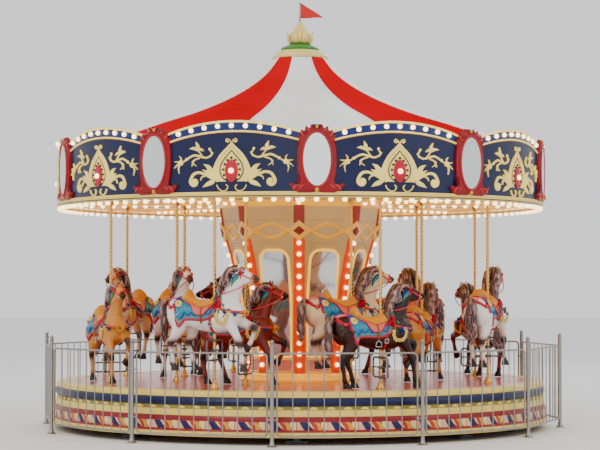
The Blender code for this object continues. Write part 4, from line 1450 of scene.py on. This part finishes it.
def make_body_meshes():
    """The horse in each coat, and a ray tree of its skin that the tack is fitted to."""
    body = horse_skin()
    tree = BVHTree.FromPolygons([Vector(point) for point in body[0]], body[1])
    build = Build().add(body, 0, coat_marks_and_belly_shade)
    for x, y, z, turn in HOOVES:
        build.add(hoof(x, y, z, turn), 0, (0.03, 0.025, 0.025))
    for side in (-1, 1):
        ear = resample(
            [(0.312, side * 0.03, 1.135), (0.322, side * 0.037, 1.175), (0.338, side * 0.036, 1.208)], 7
        )
        build.add(tube(ear, [0.016, 0.02, 0.021, 0.019, 0.015, 0.009, 0.002], 10, flat=0.6))
        build.add(ball((0.374, side * 0.047, 1.098), 0.0115, 12), 0, (0.03, 0.02, 0.02))
        lid = [
            (0.356, side * 0.05, 1.098), (0.368, side * 0.054, 1.111), (0.386, side * 0.05, 1.107),
            (0.394, side * 0.046, 1.095),
        ]
        build.add(tube(resample(lid, 8), 0.0042, 6), 0, (0.42, 0.36, 0.34))
        build.add(ball((0.538, side * 0.021, 1.034), 0.0085, 8), 0, (0.08, 0.04, 0.04))
        mouth = [(0.54, side * 0.012, 1.008), (0.515, side * 0.03, 1.008), (0.48, side * 0.033, 1.012)]
        build.add(tube(resample(mouth, 8), 0.0035, 6), 0, (0.2, 0.1, 0.1))
    mesh = build.mesh("horse_looks", 60)
    meshes = {}
    for coat, material in COATS.items():
        made = mesh.copy()
        made.name = f"{coat}_horse_looks"
        made.materials.append(material)
        meshes[coat] = made
    return meshes, tree


def lock(path, widths, shade, count=16, flat=0.55):
    """One carved lock of hair, as (shell, paint)."""
    pale = max(shade - 1.0, 0.0)
    colour = tuple(
        (1 - pale) * dark * min(shade, 1.0) + pale * light for dark, light in zip(HAIR_DARK, HAIR_PALE)
    )
    return tube(resample(path, count), widths, 10, flat=flat), colour


def mane_locks():
    locks = []
    crest = resample([(0.335, 1.135), (0.285, 1.13), (0.225, 1.06), (0.175, 0.96), (0.12, 0.86)], 9)
    for k, (x, z) in enumerate(crest):
        reach = 1.25 - 0.075 * k
        for side in (-1, 1):
            for layer, shade in ((0, 0.8), (1, (1.45, 0.9, 1.1)[k % 3])):
                y = side * (0.014 + 0.03 * layer)
                drop = 0.022 * layer
                path = [
                    (x + 0.012, y * 0.6, z - 0.02),
                    (x - 0.04 * reach, y + side * 0.01, z + 0.03 * reach - drop),
                    (x - 0.1 * reach, y + side * 0.028, z + 0.005 - drop),
                    (x - 0.12 * reach, y + side * 0.04, z - 0.05 * reach - drop),
                    (x - 0.1 * reach, y + side * 0.044, z - 0.1 * reach - drop),
                    (x - 0.14 * reach, y + side * 0.036, z - 0.135 * reach - drop),
                ]
                locks.append(lock(path, [0.022, 0.031, 0.033, 0.029, 0.021, 0.004], shade, 20))
    for side in (-1, 1):
        for z in (1.125, 1.1):
            path = [
                (0.31, side * 0.012, z + 0.02), (0.35, side * 0.022, z + 0.03), (0.385, side * 0.024, z),
                (0.402, side * 0.018, z - 0.03),
            ]
            locks.append(lock(path, [0.014, 0.017, 0.012, 0.003], 1.1, 10))
    ridge = [
        (0.345, 0, 1.13), (0.285, 0, 1.145), (0.215, 0, 1.085), (0.15, 0, 0.99), (0.1, 0, 0.88),
        (0.08, 0, 0.83),
    ]
    locks.append(lock(ridge, [0.018, 0.03, 0.036, 0.034, 0.026, 0.01], 0.85, 22, 0.9))
    return locks


def tail_locks():
    locks = []
    for k in range(11):
        share = k / 10 - 0.5
        y = 0.085 * share
        length = 1.0 - 0.35 * abs(share) - 0.07 * (k % 3)
        wave = 0.016 * math.cos(1.9 * k)
        path = [
            (-0.53, y * 0.25, 0.775),
            (-0.585, y * 0.45, 0.8 - 0.02 * abs(share)),
            (-0.63, y * 0.8, 0.75),
            (-0.642 + wave, y * 1.1, 0.66),
            (-0.622 - wave, y * 1.35 + 0.01, 0.66 - 0.13 * length),
            (-0.645 + wave, y * 1.5, 0.66 - 0.24 * length),
            (-0.62 - wave * 0.5, y * 1.35 - 0.01, 0.66 - 0.33 * length),
            (-0.65, y * 1.1, 0.66 - 0.4 * length),
        ]
        locks.append(
            lock(
                path,
                [0.014, 0.02, 0.025, 0.026, 0.025, 0.021, 0.013, 0.003],
                (0.85, 1.4, 1.0, 0.7, 1.2)[k % 5],
                30,
                0.8,
            )
        )
    return locks


def make_hair_mesh():
    build = Build()
    for shell, colour in mane_locks() + tail_locks():
        build.add(shell, 0, colour)
    return build.mesh("hair_looks", 50)


# Tack

ARC_RADIUS = 0.155


def torso_centre(x):
    rows = np.asarray(TORSO)
    return float(np.interp(x, rows[:, 0], rows[:, 1]))


def skin_point(tree, centre, way, start, fallback):
    """The point of the skin seen from outside along a way, or one at the fallback distance."""
    hit = tree.ray_cast(centre + way * start, -way)[0]
    return centre + way * fallback if hit is None else hit


def tack_mappings(tree):
    """Maps onto the horse's skin: over its back from the spine, and round its chest."""

    def on_back(x, arc, h):
        angle = arc / ARC_RADIUS
        way = Vector((0, -math.sin(angle), math.cos(angle)))
        centre = Vector((x, 0, torso_centre(x)))
        return tuple(skin_point(tree, centre, way, 0.27, 0.15) + way * h)

    def on_chest(arc, z, h):
        angle = arc / 0.2
        way = Vector((math.cos(angle), -math.sin(angle), 0))
        centre = Vector((0.14, 0, z))
        return tuple(skin_point(tree, centre, way, 0.3, 0.18) + way * h)

    return on_back, on_chest


def blossom(build, place, u, v, radius, petal, centre, petals_count=6, lift=0.012):
    """A moulded flower: a ring of round petals about a boss."""
    for k in range(petals_count):
        angle = 2 * math.pi * k / petals_count
        spot = place(u + radius * 0.62 * math.cos(angle), v + radius * 0.62 * math.sin(angle), lift)
        build.add(ball(spot, radius * 0.45, 8), 0, petal)
    build.add(ball(place(u, v, lift + radius * 0.2), radius * 0.4, 8), 0, centre)


def rose(build, place, u, v, radius, lift=0.016):
    """A moulded rose: a ball with curled petals round it."""
    dark = tuple(0.6 * value for value in ROSE_RED)
    build.add(ball(place(u, v, lift), radius * 0.7, 10), 0, dark)
    for k in range(5):
        angle = 2 * math.pi * k / 5
        arc = [
            (u + radius * math.cos(angle + t) * 0.7, v + radius * math.sin(angle + t) * 0.7)
            for t in (0, 0.6, 1.2)
        ]
        build.add(
            stroke(arc, [radius * 0.4, radius * 0.7, radius * 0.3], place, lift + radius * 0.7, 7),
            0,
            ROSE_RED,
        )
    swirl = spiral((u, v), radius * 0.4, radius * 0.08, 0, 1.2, 9)
    build.add(stroke(swirl, radius * 0.3, lifted(place, lift + radius * 0.3), radius * 0.5), 0, ROSE_RED)


def leaf(build, place, path, width, paint, lift=0.02):
    build.add(stroke(path, [width * 0.2, width, width * 0.8, width * 0.1], place, lift, 9), 0, paint)


def bow(build, place, u, v, size, paint):
    for sign in (-1, 1):
        loop = [
            (u, v),
            (u + sign * size * 0.6, v - size * 0.45),
            (u + sign * size, v),
            (u + sign * size * 0.6, v + size * 0.35),
            (u, v),
        ]
        build.add(
            stroke(loop, [size * 0.2, size * 0.36, size * 0.4, size * 0.36, size * 0.2], place, 0.03, 16),
            0,
            paint,
        )
        tail = [(u, v), (u + sign * size * 0.4, v + size * 0.8), (u + sign * size * 0.5, v + size * 1.5)]
        build.add(stroke(tail, [size * 0.2, size * 0.4, size * 0.3], place, 0.022, 8), 0, paint)
    build.add(ball(place(u, v, 0.022), size * 0.24, 10), 0, GOLD)


def blanket_edge(x):
    """How far down each side the blanket hangs: deepest at a point near its rear."""
    return float(
        smooth((-0.43, -0.38, -0.3, -0.18, -0.04, 0.08), (0.22, 0.35, 0.315, 0.285, 0.268, 0.22), x)
    )


def flap_edge(x):
    return 0.095 + 0.045 * math.exp(-(((x + 0.12) / 0.09) ** 2))


def panel_edge(x):
    return 0.12 + 0.1 * math.exp(-(((x + 0.12) / 0.1) ** 4))


def saddle_rise(x, arc):
    """The saddle's thickness: a high cantle behind, a lower pommel in front and a dished seat."""
    across = math.exp(-((arc / 0.1) ** 2))
    cantle = 0.088 * math.exp(-(((x + 0.315) / 0.04) ** 2))
    pommel = 0.05 * math.exp(-(((x - 0.005) / 0.035) ** 2))
    return 0.026 + (cantle + pommel + 0.012) * across


def seat_top(x, arc):
    return saddle_rise(x, arc) - 0.004


def add_saddle(build, place):
    xs = np.linspace(-0.43, 0.08, 30)
    build.add(patch(xs, lambda x: -blanket_edge(x), blanket_edge, place, -0.01, 0.011, 40), 0, TURQUOISE)
    for side in (-1, 1):
        hem = [(float(x), side * (blanket_edge(x) - 0.006)) for x in xs]
        build.add(stroke(hem, 0.026, place, 0.022), 0, ROSE_RED)
        inner = [(float(x), side * (blanket_edge(x) - 0.034)) for x in xs[1:-1]]
        build.add(stroke(inner, 0.009, place, 0.018), 0, GOLD)
        feathers = []
        for k in range(11):
            x = -0.385 + 0.042 * k
            feathers.append((x, side * (blanket_edge(x) - (0.05 if k % 2 else 0.088))))
        build.add(stroke(feathers, 0.016, place, 0.02), 0, BLUE)
        for k in range(6):
            x = -0.375 + 0.05 * k
            tip = side * (blanket_edge(x) - 0.1)
            leaf(
                build,
                place,
                [(x, tip), (x - 0.02, tip - side * 0.02), (x - 0.03, tip - side * 0.045)],
                0.022,
                linear(96, 178, 196),
            )
    for x in (-0.425, 0.075):
        end = [(x, arc) for arc in np.linspace(-blanket_edge(x), blanket_edge(x), 26)]
        build.add(stroke(end, 0.024, place, 0.022), 0, ROSE_RED)
    panel = np.linspace(-0.3, 0.02, 20)
    build.add(patch(panel, lambda x: -panel_edge(x), panel_edge, place, 0.0, 0.022, 26), 0, SALMON)
    for side in (-1, 1):
        welt = [(float(x), side * (panel_edge(x) - 0.003)) for x in panel]
        build.add(stroke(welt, 0.012, place, 0.028), 0, linear(150, 30, 44))
    seat = np.linspace(-0.355, 0.035, 30)
    build.add(patch(seat, lambda x: -flap_edge(x), flap_edge, place, 0.004, saddle_rise, 30), 0, SADDLE_TAN)
    for side in (-1, 1):
        rim = [(float(x), side * (flap_edge(x) - 0.004)) for x in seat]
        build.add(stroke(rim, 0.014, place, 0.036), 0, linear(178, 104, 36))
        seam = [(float(x), side * 0.07) for x in np.linspace(-0.29, -0.02, 9)]
        build.add(stroke(seam, 0.01, lifted(place, seat_top), 0.007), 0, GOLD)
        strap = [(-0.1, side * 0.13), (-0.098, side * 0.22), (-0.095, side * 0.3)]
        build.add(stroke(strap, 0.024, place, 0.036, 8), 0, linear(150, 84, 34))
        hang = Vector(place(-0.095, side * 0.3, 0.026))
        ring = [
            (hang.x + a, hang.y, hang.z + b)
            for a, b in ((0, 0), (0.03, -0.025), (0.036, -0.07), (-0.036, -0.07), (-0.03, -0.025))
        ]
        build.add(tube(ring, 0.0055, 8, closed=True), 0, SILVER)


def add_body_ornaments(build, place, chest):
    girth = [(0.01, arc) for arc in np.linspace(-0.485, 0.485, 40)]
    build.add(stroke(girth, 0.034, place, 0.014), 0, linear(176, 34, 44))
    for side in (-1, 1):
        ribbon = [
            (-0.42, side * 0.16), (-0.47, side * 0.2), (-0.52, side * 0.17), (-0.55, side * 0.09),
            (-0.552, side * 0.02),
        ]
        build.add(stroke(ribbon, 0.032, place, 0.018, 16), 0, ROSE_RED)
        crupper = [(-0.42, side * 0.05), (-0.5, side * 0.045), (-0.555, side * 0.01)]
        build.add(stroke(crupper, 0.03, place, 0.018, 9), 0, linear(228, 92, 110))
        blossom(build, place, -0.385, side * 0.15, 0.042, CREAM, GOLD, 8, 0.02)
        blossom(build, place, -0.49, side * 0.2, 0.026, ROSE_RED, GOLD, 6, 0.018)
        buckle = [
            (-0.012, side * 0.29), (0.032, side * 0.29), (0.032, side * 0.33), (-0.012, side * 0.33),
            (-0.012, side * 0.29),
        ]
        build.add(stroke(buckle, 0.01, place, 0.022), 0, SILVER)
        rose(build, place, 0.065, side * 0.05, 0.036, 0.03)
        rose(build, place, 0.105, side * 0.105, 0.032, 0.026)
        rose(build, place, 0.055, side * 0.125, 0.027, 0.026)
        for x, arc, lean in (
            (0.1, 0.04, 0.03), (0.14, 0.1, 0.035), (0.1, 0.16, 0.02), (0.04, 0.165, -0.02)
        ):
            leaf(
                build,
                place,
                [(x, side * arc), (x + lean * 0.6, side * (arc + 0.02)), (x + lean, side * (arc + 0.045))],
                0.024,
                LEAF,
            )
        for k in range(9):
            angle = math.pi * (1.08 - 1.16 * k / 8)
            u = 0.165 - 0.075 * math.cos(angle)
            blossom(build, place, u, side * (0.235 + 0.085 * math.sin(angle)), 0.023, CREAM, GOLD, 6, 0.014)
        for k in range(4):
            tip = (-0.43 - 0.012 * k, side * (0.06 + 0.035 * k))
            root = (-0.345 - 0.008 * k, side * (0.1 + 0.022 * k))
            middle = ((tip[0] + root[0]) / 2, (tip[1] + root[1]) / 2 - side * 0.012)
            leaf(build, place, [root, middle, tip], 0.034, BLUE, 0.026)
        bow(build, place, 0.215, side * 0.2, 0.04, BLUE)
        breast = [
            (side * u, 0.705 - 0.05 * math.sin(math.pi * (0.36 - u) / 0.72))
            for u in np.linspace(0.36, 0, 16)
        ]
        build.add(stroke(breast, 0.036, chest, 0.02), 0, linear(196, 34, 44))
        build.add(stroke(breast, 0.01, chest, 0.026), 0, GOLD)
        bow(build, lambda a, b, h: chest(a, -b, h), side * 0.12, -0.652, 0.026, BLUE)
    plate = [
        (0.04 * math.cos(t), 0.648 + 0.048 * math.sin(t)) for t in np.linspace(0, 2 * math.pi, 17)[:-1]
    ]
    build.add(blob(plate, chest, 0.032, 1.0), 0, GOLD)
    build.add(ball(chest(0, 0.648, 0.03), 0.016, 10), 0, ROSE_RED)


def head_ring(x, grow, count=20):
    """A loop round the head at a station, leaning with the head."""
    rows = np.asarray(HEAD)
    z, tall, wide = (float(np.interp(x, rows[:, 0], rows[:, k])) for k in (1, 2, 3))
    path = []
    for side, up in around(count):
        reach = (tall + grow) * up
        path.append((x + reach * math.sin(0.28), (wide + grow) * side, z + reach * math.cos(0.28)))
    return path


def beside_head(side, reach):
    """Maps (along, height, outwards) onto an upright plane at one side of the head."""

    def place(u, v, h):
        return (u, side * (reach + h), v)

    return place


def add_bridle(build):
    strap = linear(206, 48, 62)
    for x, width in ((0.475, 0.0085), (0.352, 0.0085)):
        build.add(tube(head_ring(x, 0.003), width, 8, closed=True), 0, strap)
    for side in (-1, 1):
        cheek = [
            (0.325, side * 0.052, 1.13), (0.36, side * 0.06, 1.085), (0.42, side * 0.047, 1.05),
            (0.478, side * 0.037, 1.022),
        ]
        build.add(tube(resample(cheek, 12), 0.0075, 8), 0, strap)
        rein = [
            (0.485, side * 0.038, 1.01), (0.4, side * 0.075, 0.955), (0.3, side * 0.096, 0.91),
            (0.18, side * 0.1, 0.875), (0.08, side * 0.06, 0.86), (0.02, side * 0.02, 0.85),
        ]
        build.add(tube(resample(rein, 20), 0.0065, 8), 0, strap)
        build.add(ball((0.482, side * 0.039, 1.014), 0.013, 10), 0, GOLD)
        rose(build, beside_head(side, 0.058), 0.345, 1.092, 0.026, 0.008)
        for bend, paint in ((0.0, linear(40, 140, 150)), (0.02, BLUE), (-0.018, LEAF)):
            path = [(0.335, 1.085), (0.3, 1.055 + bend), (0.262, 1.02 + bend), (0.236, 0.968 + bend * 1.5)]
            build.add(
                stroke(path, [0.014, 0.026, 0.024, 0.004], beside_head(side, 0.062), 0.016, 10), 0, paint
            )
    crown = [
        (0.325, -0.052, 1.13), (0.318, -0.03, 1.158), (0.316, 0, 1.166), (0.318, 0.03, 1.158),
        (0.325, 0.052, 1.13),
    ]
    build.add(tube(resample(crown, 12), 0.0075, 8), 0, strap)
    build.add(ball((0.372, 0, 1.148), 0.014, 10), 0, GOLD)


def make_tack_mesh(tree):
    place, chest = tack_mappings(tree)
    build = Build()
    add_saddle(build, place)
    add_body_ornaments(build, place, chest)
    add_bridle(build)
    return build.mesh("tack_looks", 40)


def rounded(left, right, low, high, radius):
    """A closed rounded rectangle as (across, height) points."""
    points = []
    for u, v, start in (
        (right - radius, high - radius, 0), (left + radius, high - radius, 90),
        (left + radius, low + radius, 180), (right - radius, low + radius, 270),
    ):
        for step in range(5):
            angle = math.radians(start + 22.5 * step)
            points.append((u + radius * math.cos(angle), v + radius * math.sin(angle)))
    return points


def make_pole_mesh(box, lift):
    """A twisted brass pole with plain ends, and the foot rest clamped to it. Height 0 is the hooves."""
    low = box[0][2] - lift
    high = box[1][2] - lift
    step = 0.0055
    stops = np.arange(low, high, step)
    build = Build()
    twist = 2 * math.pi * step / 0.18
    path = [(0, 0, float(z)) for z in stops] + [(0, 0, high)]
    build.add(tube(path, 0.0172, 20, lobes=0.1, twist=twist), 0)
    for z in (low, 0.36, 1.3, high - 0.06):
        build.add(
            solid_lathe([(0.0175, z), (0.0188, z + 0.004), (0.0188, z + 0.05), (0.0175, z + 0.054)], 20), 0
        )
    frame_path = [(0, u, v) for u, v in rounded(-0.2, 0.2, 0.12, 0.34, 0.035)]
    build.add(tube(frame_path, 0.0105, 10, closed=True), 1)
    build.add(tube([(0, -0.195, 0.23), (0, 0.195, 0.23)], 0.009, 10), 1)
    for z in (0.12, 0.23, 0.34):
        build.add(
            solid_lathe(
                [(0.024, z - 0.018), (0.026, z - 0.014), (0.026, z + 0.014), (0.024, z + 0.018)], 16
            ),
            1,
        )
    return build.mesh("pole_looks", 60)


def make_horses():
    bodies, tree = make_body_meshes()
    hair = make_hair_mesh()
    tack = make_tack_mesh(tree)
    poles = None
    for row, radius, coats, high_parity in (
        ("outer", OUTER_ROW, OUTER_COATS, 1), ("inner", INNER_ROW, INNER_COATS, 0)
    ):
        for i in range(STATIONS):
            angle = FIRST_STATION + i * math.pi / 4
            lift = HOOF_MID + (CRANK_THROW if i % 2 == high_parity else -CRANK_THROW)
            spot = (radius * math.sin(angle), -radius * math.cos(angle), lift)
            rider = f"{row}_horse_{i + 1}"
            label = f"{row}_{i + 1}"
            if poles is None:
                poles = make_pole_mesh(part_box(f"pole_{label}"), lift)
            add_piece(
                f"horse_{label}_body", bodies[coats[i]], rider, [], [f"horse_{label}"], spot, angle
            )
            add_piece(f"horse_{label}_hair", hair, rider, [HAIR], (), spot, angle)
            add_piece(f"horse_{label}_tack", tack, rider, [GLOSS], (), spot, angle)
            add_piece(
                f"pole_{label}_twist", poles, rider, [BRASS, STEEL_GREY], [f"pole_{label}"],
                spot, angle,
            )


# Fence

POST_RADIUS = 0.022
PANEL_LOW = 0.11
PANEL_HIGH = 1.0
PANEL_CORNER = 0.05
PANEL_TUBE = 0.011
BAR_RADIUS = 0.0065
PANEL_BARS = 8
PANEL_TO_POST = 0.055
STUB_HEIGHTS = (0.29, 0.81)
HALF_CHORD = FENCE_RADIUS * math.sin(FENCE_PITCH / 2)
FENCE_LINE = FENCE_RADIUS * math.cos(FENCE_PITCH / 2)
HINGE_X = -HALF_CHORD + 0.045


def fence_panel(left, right):
    """Shells of a panel on the front line between two ends: a bent frame with upright bars."""
    corners = (
        (left, PANEL_LOW, 180), (right, PANEL_LOW, 270), (right, PANEL_HIGH, 0), (left, PANEL_HIGH, 90)
    )
    path = []
    for x, z, start in corners:
        centre_x = x + (PANEL_CORNER if x == left else -PANEL_CORNER)
        centre_z = z + (PANEL_CORNER if z == PANEL_LOW else -PANEL_CORNER)
        for step in range(6):
            angle = math.radians(start + 18 * step)
            path.append(
                (
                    centre_x + PANEL_CORNER * math.cos(angle),
                    -FENCE_LINE,
                    centre_z + PANEL_CORNER * math.sin(angle),
                )
            )
    shells = [tube(path, PANEL_TUBE, 10, closed=True)]
    gap = (right - left) / (PANEL_BARS + 1)
    for index in range(1, PANEL_BARS + 1):
        x = left + index * gap
        shells.append(tube([(x, -FENCE_LINE, PANEL_LOW), (x, -FENCE_LINE, PANEL_HIGH)], BAR_RADIUS, 10))
    return shells


def fence_post():
    radius = POST_RADIUS
    top = FENCE_HEIGHT
    profile = [
        (0.058, 0.0), (0.058, 0.006), (0.046, 0.012), (0.03, 0.026), (radius + 0.002, 0.05), (radius, 0.07)
    ]
    profile += [
        (radius, top - 0.062), (radius + 0.005, top - 0.058), (radius + 0.005, top - 0.05),
        (0.014, top - 0.046),
    ]
    profile += [
        (0.014, top - 0.04), (0.021, top - 0.033), (0.024, top - 0.022), (0.019, top - 0.008), (0.006, top)
    ]
    return moved(solid_lathe(profile, 24), 0, (0, -FENCE_RADIUS, 0))


def make_fence():
    reach = HALF_CHORD - PANEL_TO_POST
    for name, panels, posts in (
        ("right", range(GATE_INDEX), range(GATE_INDEX + 1)),
        ("left", range(GATE_INDEX + 1, FENCE_POSTS), range(GATE_INDEX + 1, FENCE_POSTS)),
    ):
        build = Build()
        for index in posts:
            build.add(moved(fence_post(), FENCE_TURN + index * FENCE_PITCH))
        for index in panels:
            angle = FENCE_TURN + (index + 0.5) * FENCE_PITCH
            for shell in fence_panel(-reach, reach):
                build.add(moved(shell, angle))
            for z in STUB_HEIGHTS:
                for side in (-1, 1):
                    ends = [(side * reach, -FENCE_LINE, z), (side * (HALF_CHORD - 0.012), -FENCE_LINE, z)]
                    build.add(moved(tube(ends, 0.009, 10), angle))
                    build.add(moved(ball((side * reach, -FENCE_LINE, z), 0.015, 10), angle))
        if name == "right":
            for z in STUB_HEIGHTS:
                ends = [(-HALF_CHORD + 0.012, -FENCE_LINE, z - 0.018), (HINGE_X, -FENCE_LINE, z - 0.018)]
                build.add(moved(tube(ends, 0.007, 10), FENCE_TURN + (GATE_INDEX + 0.5) * FENCE_PITCH))
        mesh = build.mesh(f"fence_{name}_looks")
        add_piece(f"fence_{name}_tubes", mesh, "root", [STAINLESS], [f"fence_{name}"])
    make_gate(reach)


def make_gate(reach):
    build = Build()
    angle = FENCE_TURN + (GATE_INDEX + 0.5) * FENCE_PITCH
    for shell in fence_panel(HINGE_X + 0.02, reach):
        build.add(moved(shell, angle))
    for z in STUB_HEIGHTS:
        knuckle = solid_lathe([(0.012, z - 0.01), (0.012, z + 0.03)], 16)
        build.add(moved(moved(knuckle, 0, (HINGE_X, -FENCE_LINE, 0)), angle))
        leaf = [(HINGE_X, -FENCE_LINE, z + 0.01), (HINGE_X + 0.03, -FENCE_LINE, z + 0.01)]
        build.add(moved(tube(leaf, 0.007, 8), angle))
    latch = [(reach - 0.004, -FENCE_LINE, 0.81), (reach + 0.022, -FENCE_LINE, 0.81)]
    build.add(moved(tube(latch, 0.008, 10), angle))
    add_piece(
        "fence_gate_tubes", build.mesh("fence_gate_looks"), "gate", [STAINLESS],
        ["fence_gate"],
    )


# Carried-over parts and the stage


def paint_frame():
    """Gives the steelwork and drive parts, which are shown as they are, their finishes."""
    plans = (
        (
            ("base_frame", "platform_frame", "sweep_frame"),
            painted("frame_enamel", linear(72, 76, 82), 0.45, 0.2),
        ),
        (("centre_mast",), painted("mast_enamel", linear(196, 160, 104), 0.4, 0.3)),
        (
            ("crown_gear", "slew_gear", "drive_pinion"),
            brushed("cut_gear_steel", linear(140, 140, 138), 0.36),
        ),
        (("drive_motor",), painted("motor_enamel", linear(36, 92, 140), 0.4, 0.3)),
        (("platform_deck",), DECK_PINK),
        # The ceiling panels take tan paint with a painted glow.
        (("ceiling_panels",), CEILING_TAN_PAINTED_GLOW),
        ([f"crankshaft_{i + 1}" for i in range(STATIONS)], STEEL_GREY),
    )
    for names, material in plans:
        for name in names:
            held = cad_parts[name]
            held.data.materials.clear()
            held.data.materials.append(material)


def make_stage():
    bpy.ops.mesh.primitive_plane_add(size=160, location=(0, 0, -0.0005))
    floor = bpy.context.object
    floor.name = "studio_floor"
    material, tree, surface = shader("pale_floor")
    surface.inputs["Base Color"].default_value = (*linear(236, 236, 236), 1)
    surface.inputs["Roughness"].default_value = 0.6
    floor.data.materials.append(material)
    world = bpy.data.worlds.new("studio")
    world.use_nodes = True
    world.node_tree.nodes["Background"].inputs["Color"].default_value = (1, 1, 1, 1)
    world.node_tree.nodes["Background"].inputs["Strength"].default_value = 1.1
    bpy.context.scene.world = world
    for name, place, size, power in (
        ("key_light", (-9, -15, 13), 9, 900),
        ("fill_light", (14, -9, 9), 10, 350),
        ("back_light", (3, 16, 12), 10, 500),
        ("crown_fill", (0, -16, 3), 8, 120),
    ):
        lamp_data = bpy.data.lights.new(name, "AREA")
        lamp_data.size = size
        lamp_data.energy = power
        made = bpy.data.objects.new(name, lamp_data)
        bpy.context.scene.collection.objects.link(made)
        made.location = place
        made.rotation_euler = (Vector((0, 0, 2)) - Vector(place)).to_track_quat("-Z", "Y").to_euler()


def make_camera():
    """Stands well back from the front, a little to its right, at about eye height."""
    distance = 23.4
    height = 1.716
    bearing = math.radians(0.7)
    pitch = math.radians(1.89)
    lens = bpy.data.cameras.new("camera")
    lens.sensor_width = 36
    lens.lens = 112.8
    lens.clip_end = 200
    camera = bpy.data.objects.new("camera", lens)
    bpy.context.scene.collection.objects.link(camera)
    camera.location = (distance * math.sin(bearing), -distance * math.cos(bearing), height)
    camera.rotation_euler = (math.pi / 2 + pitch, 0, bearing)
    bpy.context.scene.camera = camera


make_camera()
make_stage()
paint_frame()
make_skirt()
make_deck_trim()
make_sockets()
make_column()
make_ceiling()
make_crown()
make_canopy()
make_top()
make_pennant()
make_horses()
make_fence()
